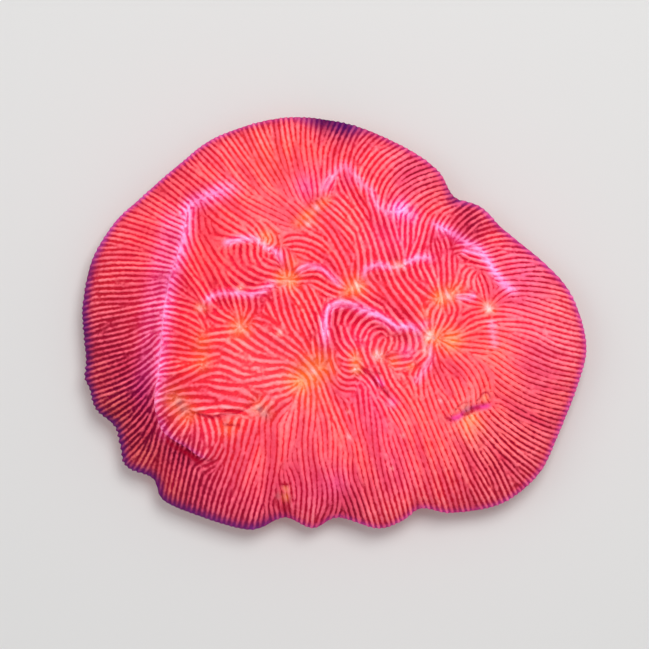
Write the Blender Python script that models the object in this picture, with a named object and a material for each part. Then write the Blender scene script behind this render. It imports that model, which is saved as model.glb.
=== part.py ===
"""Leptoseris coral: a colony grown as one piece, a ridged plate on a thick foot that is cut off flat.

Places on the colony are in millimetres from the middle of its outline, +X to the right and +Y to the
back. The ridges were traced by eye on the photograph, in its pixels, and PIXEL and MIDDLE_PIXEL turn
those into millimetres.
"""
import bpy
import numpy as np

NODE = "coral_colony"
MM = 0.001
PIXEL = 0.15
MIDDLE_PIXEL = (334.5, 323.0)

# Mesh: rings in the top grid, length of a step on the smooth curves, and triangles kept in the end
TOP_RINGS = 100
CURVE_STEP = 0.6
TRIANGLES = 9000

# Body of the colony
RIM_TOP = 5.6
RIM_ROLL = 0.9
RIM_ROLL_REACH = 1.3
DOME = 7.2
DOME_REACH = 7.0
DOME_TILT = (-0.03, -0.02)
SWELL = 0.11
SWELL_COUNT = 6
SWELL_WAVES = (14.0, 26.0)
END_TAPER = 0.14

# Edge and underside: outward offset, drop and share of the ridges' height for each ring of the edge
EDGE_RINGS = [(0.10, 0.5, 0.6), (0.05, 1.0, 0.3), (-0.5, 1.5, 0.1)]
EDGE_THICKNESS = 1.7
UNDERSIDE_RINGS = 14
FOOT_RADIUS = 17.0
FOOT_LOBES = [(3, 1.2, 1.0), (5, 0.8, 2.2)]

# Living tissue
TISSUE_COLOUR = (0.93, 0.07, 0.09, 1.0)
TISSUE_ROUGHNESS = 0.55

# Ridges: distance between crests, height, and how the distance changes over the colony
RIDGE_PITCH = 1.75
RIDGE_HEIGHT = 0.6
RIDGE_GRID = 0.25
HALF_SIDES = (39.0, 32.0)
RIDGE_TURNS = 14
RIDGE_DIRECTIONS = 18
RIDGE_PITCHES = (0.87, 1.12, 1.4, 1.75)
WIDER_AT = [(-12, -6, 9, 0.5), (14, 1, 9, 0.35), (6, -2, 6, 0.17), (-9, 22, 12, -0.1), (2, -22, 12, 0.14)]
SCALLOP = 0.22
MOUTH_PULL = 1.3
MOUTH_DEPTH = 1.0
MOUTH_WIDTH = 1.7

# Outline, clockwise from its left end
OUTLINE = [
    (-37.9, 3.0), (-36.6, 9.3), (-33.2, 15.0), (-29.2, 18.8), (-23.4, 23.9), (-17.6, 28.1), (-7.8, 30.9),
    (1.9, 30.0), (9.9, 26.8), (15.3, 23.2), (17.35, 19.9), (18.4, 18.7), (22.0, 17.5), (25.4, 14.2),
    (31.8, 8.9), (35.7, 4.2), (37.9, -2.9), (36.9, -8.6), (33.7, -16.9), (30.7, -22.8), (25.1, -27.2),
    (17.7, -28.6), (13.1, -27.9), (10.1, -29.8), (6.5, -30.9), (0.5, -29.3), (-3.2, -30.9), (-7.5, -29.3),
    (-11.3, -30.9), (-14.4, -30.9), (-20.6, -29.0), (-25.8, -26.7), (-27.4, -23.4), (-31.4, -21.6),
    (-32.3, -18.3), (-33.1, -15.6), (-35.9, -13.0), (-36.8, -10.1), (-37.6, -8.2), (-37.4, -6.1),
    (-37.9, 0.0)]

# Cups that the ridges run into: the mouth from one end to the other, and its strength
CUPS = [
    ((-7.4, 6.5), (-6.6, 6.5), 1.0), ((2.2, 5.0), (3.6, 5.8), 1.0), ((15.6, 3.7), (17.2, 4.3), 1.0),
    ((22.9, 2.3), (23.1, 2.3), 0.8), ((14.3, -2.1), (15.3, -2.4), 1.0), ((-4.7, -8.4), (-2.4, -6.7), 1.3),
    ((-14.1, -0.6), (-13.9, -0.6), 0.9), ((-19.7, -2.5), (-19.7, -6.3), 0.8),
    ((-20.0, 2.3), (-19.8, 2.3), 0.4), ((-23.6, -11.3), (-21.7, -13.4), 0.9),
    ((-11.5, -12.0), (-10.0, -13.4), 0.9), ((3.1, -5.4), (3.2, -6.8), 0.8),
    ((6.6, -5.0), (6.9, -5.1), 0.7), ((-5.5, 14.9), (-1.4, 18.3), 1.0), ((9.0, 8.4), (9.9, 8.5), 0.5),
    ((17.4, -14.2), (23.2, -12.0), 0.8), ((-10.9, 12.4), (-8.0, 11.9), 0.7),
    ((-14.0, 5.2), (-13.8, 5.2), 0.25), ((11.2, -6.4), (11.4, -6.4), 0.3)]

# Raised walls and folds between the cups: height, half-width and the crest in pixels of the photograph
WALLS = [
    (1.4, 1.5, [(250, 198), (232, 190), (205, 199), (190, 208), (187, 225), (180, 255), (172, 280),
                (167, 310), (164, 340), (161, 370), (160, 400), (163, 430)]),
    (1.7, 1.4, [(316, 206), (325, 190), (333, 177), (344, 168), (352, 174), (360, 184), (370, 192),
                (376, 206), (388, 213), (404, 212), (418, 221)]),
    (2.0, 1.3, [(424, 220), (440, 228), (452, 234), (465, 243), (478, 249), (486, 260), (492, 270),
                (499, 279), (507, 288), (522, 296)]),
    (1.2, 0.9, [(359, 287), (364, 272), (376, 266), (390, 268), (402, 266), (412, 260), (424, 258),
                (438, 262)]),
    (1.2, 0.9, [(202, 308), (210, 299), (222, 294), (238, 294), (252, 295), (262, 292), (272, 285),
                (284, 283)]),
    (1.3, 0.9, [(220, 247), (233, 242), (246, 240), (258, 241), (265, 247), (274, 251), (281, 257),
                (284, 268)]),
    (1.0, 0.9, [(294, 276), (304, 268), (318, 268), (332, 278), (346, 292)]),
    (2.2, 1.0, [(326, 356), (325, 335), (326, 316), (333, 306), (348, 304), (362, 310), (374, 314),
                (386, 321), (396, 327), (410, 327), (420, 334), (427, 344)]),
    (0.8, 0.8, [(425, 340), (430, 352), (427, 364), (419, 376), (412, 386)]),
    (0.9, 0.9, [(490, 318), (491, 332), (494, 350)]),
    (0.7, 0.7, [(452, 296), (464, 298), (476, 296)]),
    (0.7, 0.8, [(446, 416), (457, 406), (468, 401), (480, 398), (494, 396)]),
    (0.6, 0.8, [(452, 425), (468, 417), (482, 412), (496, 404)])]

# Steps: height, reach of the raised side, overhang, and places with the raised side on their left
STEPS = [
    (1.2, 5.0, 0.2, [(-14.0, 19.4), (-19.4, 18.8), (-21.9, 17.2), (-22.3, 14.7), (-23.4, 10.2),
                     (-24.6, 6.5), (-25.4, 2.0), (-25.8, -2.6), (-26.2, -7.1), (-26.4, -11.6)]),
    (2.4, 4.6, 0.9, [(-26.1, -7.5), (-26.5, -12.0), (-26.0, -16.1), (-24.4, -17.7), (-22.3, -18.9),
                     (-19.7, -20.7), (-17.2, -21.8), (-14.0, -21.6)]),
    (1.0, 2.6, 0.15, [(-22.0, -12.4), (-21.2, -13.1), (-17.9, -13.8), (-16.0, -13.0), (-13.7, -12.6),
                      (-11.9, -11.7)])]
STEP_RISE = 0.45
OVERHANG_REACH = 2.0
FADE_SOFTNESS = 0.1
FADE_STEPS = 16

# Grooves: depth, half-width and places along the bottom
GROOVES = [
    (1.0, 0.45, [(17.0, -14.3), (18.6, -13.6), (20.6, -12.9), (23.6, -12.0)]),
    (1.0, 0.5, [(3.2, -6.0), (4.9, -7.7), (6.4, -9.4), (8.6, -11.9)]),
    (0.8, 0.6, [(-7.7, -24.0), (-7.6, -26.5), (-7.2, -29.8)]),
    (1.2, 1.2, [(-6.4, 14.2), (-3.6, 16.2), (-1.2, 18.6)])]

# Ridges traced over the colony, in pixels of the photograph
TRACED_RIDGES = [
    # left skirt
    [(124, 222), (150, 228), (183, 240)], [(160, 185), (175, 197), (190, 207)],
    [(97, 258), (120, 255), (145, 257), (174, 262)], [(85, 305), (105, 298), (135, 298), (165, 290)],
    [(90, 345), (115, 338), (140, 331), (162, 323)], [(100, 388), (130, 378), (150, 366), (161, 354)],
    [(122, 432), (140, 420), (153, 404), (159, 388)], [(140, 466), (150, 450), (157, 430)],
    # front
    [(158, 488), (163, 465), (167, 446)], [(190, 508), (196, 485), (200, 466)],
    [(210, 517), (217, 490), (228, 466), (238, 448)], [(257, 524), (263, 490), (268, 455), (268, 425)],
    [(290, 515), (289, 470), (290, 430), (300, 392)], [(310, 522), (308, 470), (307, 430), (309, 386)],
    [(333, 515), (334, 470), (332, 430), (318, 382)], [(362, 388), (368, 430), (374, 470), (380, 520)],
    [(395, 395), (412, 430), (427, 470), (440, 505)], [(424, 372), (435, 405), (452, 445), (480, 502)],
    # front right
    [(432, 350), (440, 380), (455, 409)], [(445, 349), (466, 372), (472, 388), (467, 403)],
    [(455, 351), (478, 368), (486, 385), (484, 402)], [(463, 418), (475, 440), (492, 465), (508, 494)],
    [(484, 411), (510, 430), (532, 445), (548, 452)], [(497, 380), (520, 392), (545, 402), (569, 405)],
    [(496, 340), (520, 348), (550, 360), (583, 367)], [(498, 310), (530, 318), (560, 328), (582, 333)],
    # back right
    [(510, 287), (535, 288), (555, 290), (570, 294)], [(496, 264), (515, 260), (535, 260), (546, 264)],
    [(470, 243), (485, 231), (502, 229)], [(440, 225), (455, 211), (468, 203)],
    [(405, 205), (420, 194), (445, 187)], [(380, 205), (388, 185), (404, 168), (425, 160)],
    [(355, 176), (358, 162), (368, 148), (382, 138)],
    # back
    [(327, 175), (326, 150), (333, 128)], [(303, 198), (292, 170), (284, 145), (280, 122)],
    [(264, 190), (246, 168), (234, 150), (224, 136)], [(222, 192), (206, 177), (192, 163), (188, 158)],
    # left of the raised middle
    [(232, 194), (250, 210), (268, 228), (276, 240)], [(275, 196), (292, 207), (303, 215)],
    [(264, 241), (245, 229), (228, 217), (212, 213), (205, 220), (211, 232), (225, 238), (250, 239)],
    [(187, 240), (193, 262), (207, 294)], [(206, 240), (218, 262), (234, 285)],
    [(172, 280), (186, 290), (200, 304)], [(167, 316), (185, 321), (202, 332)],
    [(163, 356), (182, 356), (200, 357)], [(163, 398), (172, 396), (180, 398)],
    [(168, 433), (178, 422), (189, 413)], [(197, 455), (201, 435), (197, 418)],
    [(222, 462), (228, 445), (222, 428)],
    # middle
    [(206, 346), (222, 341), (238, 345), (256, 356), (282, 363), (302, 370)],
    [(206, 374), (224, 368), (248, 378), (270, 376), (300, 379)],
    [(192, 402), (220, 401), (240, 399), (254, 402)], [(273, 416), (279, 404), (288, 398)],
    [(252, 318), (270, 325), (290, 345), (306, 364)],
    [(278, 290), (288, 312), (301, 338), (310, 362)], [(303, 287), (311, 310), (318, 340), (317, 364)],
    [(221, 299), (230, 313), (238, 324)], [(206, 334), (222, 332), (237, 331)],
    [(241, 246), (241, 262), (256, 277)], [(292, 284), (308, 279), (322, 283), (334, 292)],
    # back of the raised middle
    [(303, 226), (320, 240), (338, 262), (350, 282)], [(335, 195), (352, 212), (365, 242), (369, 268)],
    [(288, 244), (308, 243), (325, 256), (344, 282)], [(388, 220), (394, 240), (397, 262)],
    [(420, 226), (417, 242), (411, 258)],
    # right of the raised middle
    [(422, 262), (430, 278), (439, 293)], [(450, 262), (450, 276), (448, 291)],
    [(408, 268), (418, 285), (432, 297)], [(373, 277), (396, 302), (420, 328)],
    [(340, 297), (360, 301), (380, 310)], [(453, 290), (465, 283), (474, 270)],
    [(444, 303), (446, 318), (436, 333)], [(492, 303), (502, 294), (515, 291)],
    [(480, 308), (468, 311), (458, 318)], [(438, 339), (460, 340), (489, 341)],
    # the fold like an ear
    [(331, 316), (332, 335), (342, 352), (353, 364)], [(358, 312), (352, 325), (352, 342), (356, 355)],
    [(390, 325), (380, 330), (374, 342), (376, 352)], [(420, 334), (416, 350), (402, 358), (388, 358)],
    [(322, 378), (336, 386), (352, 388)], [(363, 373), (378, 389), (395, 404)]]


def smooth(share):
    """Eases from 0 to 1."""
    t = np.clip(share, 0, 1)
    return t * t * (3 - 2 * t)


def curve_through(points, closed=False):
    """Points about CURVE_STEP apart on a smooth curve through the given ones."""
    points = np.array(points, float)
    count = len(points)
    pieces = []
    for i in range(count if closed else count - 1):
        if closed:
            before, start, end = points[i - 1], points[i], points[(i + 1) % count]
            after = points[(i + 2) % count]
        else:
            before, start, end = points[max(i - 1, 0)], points[i], points[i + 1]
            after = points[min(i + 2, count - 1)]
        steps = max(2, int(np.hypot(*(end - start)) / CURVE_STEP))
        t = np.linspace(0, 1, steps, endpoint=False)[:, None]
        pieces.append(0.5 * (2 * start + (end - before) * t
                             + (2 * before - 5 * start + 4 * end - after) * t**2
                             + (3 * start - before - 3 * end + after) * t**3))
    pieces.append(points[:1] if closed else points[-1:])
    return np.concatenate(pieces)


def nearest(x, y, line):
    """Distance from each point to the line, share of its length passed there, and the offset from it."""
    distance = np.full(x.shape, np.inf)
    share = np.zeros(x.shape)
    offset_x = np.zeros(x.shape)
    offset_y = np.zeros(x.shape)
    left = np.zeros(x.shape, bool)
    runs = np.diff(line, axis=0)
    lengths = np.hypot(*runs.T)
    passed = np.concatenate([[0], np.cumsum(lengths)])
    for start, run, length, before in zip(line, runs, lengths, passed):
        t = np.clip(((x - start[0]) * run[0] + (y - start[1]) * run[1]) / length**2, 0, 1)
        dx = x - start[0] - t * run[0]
        dy = y - start[1] - t * run[1]
        gap = np.hypot(dx, dy)
        closer = gap < distance
        distance = np.where(closer, gap, distance)
        share = np.where(closer, (before + t * length) / passed[-1], share)
        offset_x = np.where(closer, dx, offset_x)
        offset_y = np.where(closer, dy, offset_y)
        left = np.where(closer, run[0] * dy > run[1] * dx, left)
    return distance, share, offset_x, offset_y, left


def taper(share):
    """Fades out a wall, step or groove towards both of its ends."""
    return smooth(share / END_TAPER) * smooth((1 - share) / END_TAPER)


def on_plan(places):
    """Places given in the photograph's pixels, turned into millimetres from the middle."""
    return [((px - MIDDLE_PIXEL[0]) * PIXEL, (MIDDLE_PIXEL[1] - py) * PIXEL) for px, py in places]


def fade(x, y, line):
    """How far each point lies beside the middle of the line and not past its ends, from 0 to 1."""
    passed = np.concatenate([[0], np.cumsum(np.hypot(*np.diff(line, axis=0).T))])
    beyond = np.arange(1, FADE_STEPS + 1)[:, None]
    before = line[0] + beyond * (line[0] - line[1])
    after = line[-1] + beyond * (line[-1] - line[-2])
    places = np.concatenate([before, line, after])
    kept = np.concatenate([np.zeros(FADE_STEPS), taper(passed / passed[-1]), np.zeros(FADE_STEPS)])
    total = np.zeros(x.shape)
    weights = np.zeros(x.shape)
    for (px, py), share in zip(places, kept):
        weight = 1 / ((x - px) ** 2 + (y - py) ** 2 + FADE_SOFTNESS) ** 2
        total += weight * share
        weights += weight
    return total / weights


def ridge_direction(x, y):
    """Direction of the ridges as a complex number at twice its angle, so that both ways count the same."""
    total = np.zeros(x.shape, complex)
    for traced in TRACED_RIDGES:
        line = curve_through(on_plan(traced))
        heading = np.gradient(line, axis=0)
        doubled = np.exp(2j * np.arctan2(heading[:, 1], heading[:, 0]))
        for (px, py), turn in zip(line, doubled):
            total += turn / ((x - px) ** 2 + (y - py) ** 2 + 0.2) ** 2
    total /= np.abs(total)
    for start, end, strength in CUPS:
        distance, _, offset_x, offset_y, _ = nearest(x, y, np.array([start, end]))
        pull = np.exp(-((distance / (MOUTH_PULL * strength)) ** 2))
        total = total * (1 - pull) + pull * np.exp(2j * np.arctan2(offset_y, offset_x))
    return total


def ridge_pitch(x, y):
    """Distance between crests, as a multiple of RIDGE_PITCH."""
    pitch = np.ones(x.shape)
    for cx, cy, reach, more in WIDER_AT:
        pitch += more * np.exp(-((x - cx) ** 2 + (y - cy) ** 2) / reach**2)
    return pitch


def grow_ridges():
    """Ridges from -1 in a valley to 1 on a crest, grown from noise by filtering it along their direction."""
    xs = np.arange(-HALF_SIDES[0], HALF_SIDES[0], RIDGE_GRID)
    ys = np.arange(-HALF_SIDES[1], HALF_SIDES[1], RIDGE_GRID)
    x, y = np.meshgrid(xs, ys)
    angle = np.angle(ridge_direction(x, y)) / 2 % np.pi
    pitch = np.log(ridge_pitch(x, y))
    levels = np.log(RIDGE_PITCHES)
    wave_x, wave_y = np.meshgrid(np.fft.rfftfreq(len(xs), RIDGE_GRID), np.fft.fftfreq(len(ys), RIDGE_GRID))
    blur = np.exp(-(wave_x**2 + wave_y**2) * 2 * (np.pi * 1.3 * RIDGE_PITCH) ** 2)

    filters = []
    for k in range(RIDGE_DIRECTIONS):
        turn = k * np.pi / RIDGE_DIRECTIONS
        along = wave_x * np.cos(turn) + wave_y * np.sin(turn)
        across = np.abs(wave_y * np.cos(turn) - wave_x * np.sin(turn))
        off = np.abs((angle - turn + np.pi / 2) % np.pi - np.pi / 2)
        near_turn = np.clip(1 - off * RIDGE_DIRECTIONS / np.pi, 0, 1)
        for level in levels:
            near_level = np.clip(1 - np.abs(pitch - level) / (levels[1] - levels[0]), 0, 1)
            weight = near_turn * near_level
            if weight.max() > 0:
                wave = 1 / (RIDGE_PITCH * np.exp(level))
                shape = np.exp(-((across - wave) / (0.22 * wave)) ** 2 / 2 - (along / (0.16 * wave)) ** 2 / 2)
                filters.append((weight, shape))

    ridges = np.random.default_rng(7).standard_normal(x.shape)
    for _ in range(RIDGE_TURNS):
        waves = np.fft.rfft2(ridges)
        total = sum(weight * np.fft.irfft2(waves * shape, x.shape) for weight, shape in filters)
        strength = np.fft.irfft2(np.fft.rfft2(total**2) * blur, x.shape)
        ridges = np.tanh(1.5 * total / np.sqrt(np.maximum(strength, 1e-9)))
    return ridges


def sample(field, x, y):
    """Value of a field on the ridge grid at each point."""
    fx = np.clip((x + HALF_SIDES[0]) / RIDGE_GRID, 0, field.shape[1] - 1.001)
    fy = np.clip((y + HALF_SIDES[1]) / RIDGE_GRID, 0, field.shape[0] - 1.001)
    ix, iy = fx.astype(int), fy.astype(int)
    tx, ty = fx - ix, fy - iy
    low = field[iy, ix] * (1 - tx) + field[iy, ix + 1] * tx
    high = field[iy + 1, ix] * (1 - tx) + field[iy + 1, ix + 1] * tx
    return low * (1 - ty) + high * ty


def swells(x, y):
    """Slow unevenness of the whole plate."""
    rng = np.random.default_rng(4)
    total = np.zeros(x.shape)
    for _ in range(SWELL_COUNT):
        turn = rng.uniform(0, np.pi)
        wave = rng.uniform(*SWELL_WAVES)
        start = rng.uniform(0, 2 * np.pi)
        total += np.sin(2 * np.pi * (x * np.cos(turn) + y * np.sin(turn)) / wave + start)
    return SWELL * total


def body_height(x, y):
    """Height of the top without its ridges: dome, walls, steps, grooves and cups."""
    depth = nearest(x, y, curve_through(OUTLINE, closed=True))[0]
    rise = DOME + DOME_TILT[0] * x + DOME_TILT[1] * y
    z = RIM_TOP + rise * (1 - np.exp(-depth / DOME_REACH)) + swells(x, y)
    z -= RIM_ROLL * np.exp(-((depth / RIM_ROLL_REACH) ** 2))
    for height, half_width, points in WALLS:
        distance, share, *_ = nearest(x, y, curve_through(on_plan(points)))
        z += height * taper(share) * np.exp(-((distance / half_width) ** 2))
    for height, reach, _, points in STEPS:
        line = curve_through(points)
        distance, _, _, _, left = nearest(x, y, line)
        raised = smooth(distance / STEP_RISE) * np.exp(-((distance / reach) ** 2))
        z += height * fade(x, y, line) * np.where(left, raised, 0)
    for deep, half_width, points in GROOVES:
        distance, share, *_ = nearest(x, y, curve_through(points))
        z -= deep * taper(share) * np.exp(-((distance / half_width) ** 2))
    for start, end, strength in CUPS:
        distance = nearest(x, y, np.array([start, end]))[0]
        z -= MOUTH_DEPTH * strength * np.exp(-((distance / MOUTH_WIDTH) ** 2))
    return z


def overhang(x, y):
    """How far the raised side of each step leans out over the low side."""
    shift_x = np.zeros(x.shape)
    shift_y = np.zeros(x.shape)
    for _, _, lean, points in STEPS:
        line = curve_through(points)
        distance, _, offset_x, offset_y, left = nearest(x, y, line)
        raised = smooth(distance / STEP_RISE) * np.exp(-distance / OVERHANG_REACH)
        amount = lean * fade(x, y, line) * np.where(left, raised, 0)
        shift_x -= amount * offset_x / np.maximum(distance, 1e-6)
        shift_y -= amount * offset_y / np.maximum(distance, 1e-6)
    return shift_x, shift_y


def disc_grid():
    """A square grid drawn onto the unit disc in rings, as the angle and radius of each point."""
    steps = np.arange(-TOP_RINGS, TOP_RINGS + 1) / TOP_RINGS
    a, b = np.meshgrid(steps, steps)
    wide = np.abs(a) > np.abs(b)
    radius = np.where(wide, a, b)
    safe = np.where(radius == 0, 1, radius)
    angle = np.where(wide, np.pi / 4 * b / safe, np.pi / 2 - np.pi / 4 * a / safe)
    return np.where(radius < 0, angle + np.pi, angle), np.abs(radius)


def outline_radius(angle):
    """Distance from the middle to the outline in each direction."""
    line = curve_through(OUTLINE, closed=True)[:-1]
    turns = np.arctan2(line[:, 1], line[:, 0])
    order = np.argsort(turns)
    return np.interp(angle, turns[order], np.hypot(*line[order].T), period=2 * np.pi)


def foot_radius(angle):
    """Distance from the middle to the edge of the foot in each direction."""
    return FOOT_RADIUS + sum(size * np.sin(count * angle + start) for count, size, start in FOOT_LOBES)


def top_points(ridges):
    """Points of the top, ring by ring out to the edge."""
    angle, share = disc_grid()
    full = outline_radius(angle)
    mean = full.mean()
    radius = share * (mean + (full - mean) * share**2)
    x, y = radius * np.cos(angle), radius * np.sin(angle)
    crest = sample(ridges, x, y)
    z = body_height(x, y) + RIDGE_HEIGHT * crest / 2
    shift_x, shift_y = overhang(x, y)
    fringe = 1 + SCALLOP * crest * share**40 / np.maximum(radius, 1)
    return np.stack([x * fringe + shift_x, y * fringe + shift_y, z], axis=-1)


def border(count):
    """Indices of the border of a square grid with that many points on a side, in order."""
    last = count - 1
    low = [(0, i) for i in range(last)]
    right = [(i, last) for i in range(last)]
    high = [(last, last - i) for i in range(last)]
    left = [(last - i, 0) for i in range(last)]
    return np.array(low + right + high + left).T


def lower_rings(rim, ridges):
    """Rings of points from the edge down and in to the foot."""
    angle = np.arctan2(rim[:, 1], rim[:, 0])
    radius = np.hypot(rim[:, 0], rim[:, 1])
    crest = sample(ridges, rim[:, 0], rim[:, 1])
    top = rim[:, 2] - RIDGE_HEIGHT * crest / 2
    rings = []
    for out, drop, kept in EDGE_RINGS:
        rings.append((radius + out, top - drop + kept * RIDGE_HEIGHT * crest / 2))
    foot = foot_radius(angle)
    edge = radius + EDGE_RINGS[-1][0]
    for step in range(1, UNDERSIDE_RINGS + 1):
        inward = step / UNDERSIDE_RINGS
        rings.append((edge + (foot - edge) * inward, (top - EDGE_THICKNESS) * (1 - inward**2)))
    return [np.stack([r * np.cos(angle), r * np.sin(angle), z], axis=-1) for r, z in rings]


def colony_mesh():
    """One closed mesh: the top grid, the rings of the edge and underside, and the flat cut of the foot."""
    ridges = grow_ridges()
    top = top_points(ridges)
    count = top.shape[0]
    index = np.arange(count * count).reshape(count, count)
    ring = index[tuple(border(count))]
    rim = top[tuple(border(count))]
    points = [top.reshape(-1, 3)]
    corners = [index[:-1, :-1], index[:-1, 1:], index[1:, 1:], index[1:, :-1]]
    faces = np.stack(corners, axis=-1).reshape(-1, 4).tolist()
    first = count * count
    for lower in lower_rings(rim, ridges):
        next_ring = np.arange(first, first + len(ring))
        faces += np.stack([ring, next_ring, np.roll(next_ring, -1), np.roll(ring, -1)], axis=-1).tolist()
        points.append(lower)
        ring = next_ring
        first += len(ring)
    faces.append(ring[::-1].tolist())
    mesh = bpy.data.meshes.new(NODE)
    mesh.from_pydata((np.concatenate(points) * MM).tolist(), [], faces)
    mesh.validate()
    return mesh


def coral_material():
    """Living tissue over the skeleton: a soft sheen and a bright coral red."""
    material = bpy.data.materials.new("Coral tissue")
    material.use_nodes = True
    surface = material.node_tree.nodes["Principled BSDF"]
    surface.inputs["Base Color"].default_value = TISSUE_COLOUR
    surface.inputs["Roughness"].default_value = TISSUE_ROUGHNESS
    surface.inputs["Metallic"].default_value = 0.0
    return material


def build_colony():
    mesh = colony_mesh()
    mesh.shade_smooth()
    mesh.materials.append(coral_material())
    colony = bpy.data.objects.new(NODE, mesh)
    bpy.context.scene.collection.objects.link(colony)
    fewer = colony.modifiers.new("Fewer triangles", "DECIMATE")
    fewer.ratio = TRIANGLES / (2 * len(mesh.polygons))
    fewer.use_collapse_triangulate = True


for thing in list(bpy.data.objects):
    bpy.data.objects.remove(thing)
build_colony()
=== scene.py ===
"""Looks of the leptoseris coral: one finely ridged colony on a pale floor, seen from straight above.

Places on the colony are in millimetres from the middle of its outline, +X to the right and +Y to the
back. The folds and ridges were traced on the photograph, in its pixels, and PIXEL and MIDDLE_PIXEL
turn those into millimetres. The solid has ridges twice as coarse, so this mesh stands for it.
"""
import functools

import bpy
import numpy as np
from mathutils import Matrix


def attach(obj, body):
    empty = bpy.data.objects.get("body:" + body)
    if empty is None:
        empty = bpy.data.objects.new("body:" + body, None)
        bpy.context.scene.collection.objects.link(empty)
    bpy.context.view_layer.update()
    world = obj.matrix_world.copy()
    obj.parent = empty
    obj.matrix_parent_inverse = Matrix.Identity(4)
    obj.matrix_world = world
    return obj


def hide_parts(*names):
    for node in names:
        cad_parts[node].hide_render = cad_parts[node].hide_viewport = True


MM = 0.001
PIXEL = 0.15
MIDDLE_PIXEL = (334.5, 323)
TINY = 1e-9

# Mesh: rings in the top grid, length of a step on the smooth curves, and triangles kept in the end
TOP_RINGS = 250
CURVE_STEP = 0.6
TRIANGLES = 190000

# Body of the colony
RIM_TOP = 5.6
RIM_ROLL = 0.9
RIM_ROLL_REACH = 1.3
DOME = 7.2
DOME_REACH = 7.0
DOME_TILT = (-0.03, -0.02)
SWELL = 0.11
SWELL_SEED = 4
SWELL_COUNT = 6
SWELL_WAVES = (14, 26)
END_TAPER = 0.14

# Edge and underside: outward offset, drop and share of the ridges' height for each ring of the edge
EDGE_RINGS = [
    (0.06, 0.25, 0.9), (0.1, 0.5, 0.7), (0.09, 0.8, 0.5), (0.02, 1.1, 0.35), (-0.2, 1.38, 0.2),
    (-0.5, 1.55, 0.1)]
EDGE_THICKNESS = 1.7
UNDERSIDE_RINGS = 60
FOOT_RADIUS = 17.0
FOOT_LOBES = [(3, 1.2, 1), (5, 0.8, 2.2)]

# Lines and ribs of the underside, and how many times faster they fade in and out than the way is long
GROWTH_LINE = 0.1
GROWTH_LINES = 9
RIB_HEIGHT = 0.1
LINES_FADE = (4, 3)

# Faint terrace inside the edge: height, depth from the edge, half-width and where it shows
GROWTH_BAND = 0.25
GROWTH_BAND_DEPTH = 3.2
GROWTH_BAND_WIDTH = 0.5
GROWTH_BAND_PLACES = [(-31.5, 14, 6, 1), (-13, 26.5, 7, 0.9), (-22, 21, 6, 0.6)]

# Ridges: distance between crests, height, and how the distance changes over the colony
RIDGE_PITCH = 0.77
RIDGE_HEIGHT = 0.5
RIDGE_PROFILES = (1.15, 0.65)
BROAD_PLACES = [
    (0, -21, 9, 1), (14, -18, 9, 1), (30, -10, 9, 0.9), (28, 6, 7, 0.8), (13, 22, 7, 0.8),
    (-12, -24, 6, 0.6), (-4, 25, 7, 0.7), (-18, 23, 6, 0.5), (-8, -18, 5, 0.7), (22, -6, 6, 0.6),
    (-9, 17, 6, 0.8), (0, 10, 5, 0.3), (-28, 15, 7, 0.5), (-17, 11, 4, 0.4)]
WIDER_AT = [
    (-12, -6, 9, 0.5), (-20, -12, 5, 0.3), (12, 2, 9, 0.25), (6, -2, 6, 0.15), (0, 10, 8, 0.2),
    (33, -2, 8, 0.05), (30, -14, 8, -0.05), (-14.5, 9.3, 3.4, 0.4), (-17.5, 14.5, 3, 0.2)]

# Growth of the ridges: noise, in turns filtered to bands of waves across and along them, evened and sharpened
RIDGE_SEED = 7
RIDGE_GRID = 0.125
LAST_CELL = 1.001
HALF_SIDES = (39, 32)
RIDGE_TURNS = 22
RIDGE_DIRECTIONS = 20
RIDGE_PITCHES = (0.8, 1.0, 1.25, 1.56)
RIDGE_FILTER = (0.2, 0.13)
EVEN_REACH = 1.3
SHARPEN = 1.5
STREAK_TURNS = 3
STREAK_FILTER = (0.5, 0.1)
DIRECTION_STEP = 4
TRACE_SOFTNESS = 0.2

# Unevenness of the ridges: how far they stray, in radians, how much they vary, and their height on folds
WANDER = (0.04, 0.17)
WANDER_REACH = 0.9
MIDDLE_SIDES = (25, 19)
UNEVEN_RIDGES = 0.28
ROUGH_RIDGES = 0.2
ROUGH_REACH = 0.16
TALLER_AT_FOLDS = 0.3
TALLER_REACH = 1.6

# Teeth of the edge, where the ridges end: their length all round and where they are longer
SCALLOP = 0.08
SCALLOP_POWER = 60
SCALLOP_PLACES = [(-31, -16, 8, 0.16), (-37, -4, 5, 0.08)]

# Cups: reach over which the ridges turn towards them, and their depth and half-width
MOUTH_PULL = 1.2
MOUTH_DEPTH = 0.9
MOUTH_WIDTH = 1.5

# Outline, clockwise from its left end
OUTLINE = [
    (-37.9, 3), (-36.6, 9.3), (-33.2, 15), (-29.2, 18.8), (-23.4, 23.9), (-17.6, 28.1), (-7.8, 30.9),
    (1.9, 30), (9.9, 26.8), (15.3, 23.2), (17.35, 19.9), (18.4, 18.7), (22, 17.5), (25.4, 14.2),
    (31.8, 8.9), (35.7, 4.2), (37.9, -2.9), (36.9, -8.6), (33.7, -16.9), (30.7, -22.8), (25.1, -27.2),
    (17.7, -28.6), (13.1, -27.9), (10.1, -29.8), (6.5, -30.9), (0.5, -29.3), (-3.2, -30.9), (-7.5, -29.3),
    (-11.3, -30.9), (-14.4, -30.9), (-20.6, -29), (-25.8, -26.7), (-27.4, -23.4), (-31.4, -21.6),
    (-32.3, -18.3), (-33.1, -15.6), (-35.9, -13), (-36.8, -10.1), (-37.6, -8.2), (-37.4, -6.1), (-37.9, 0)]

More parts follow.
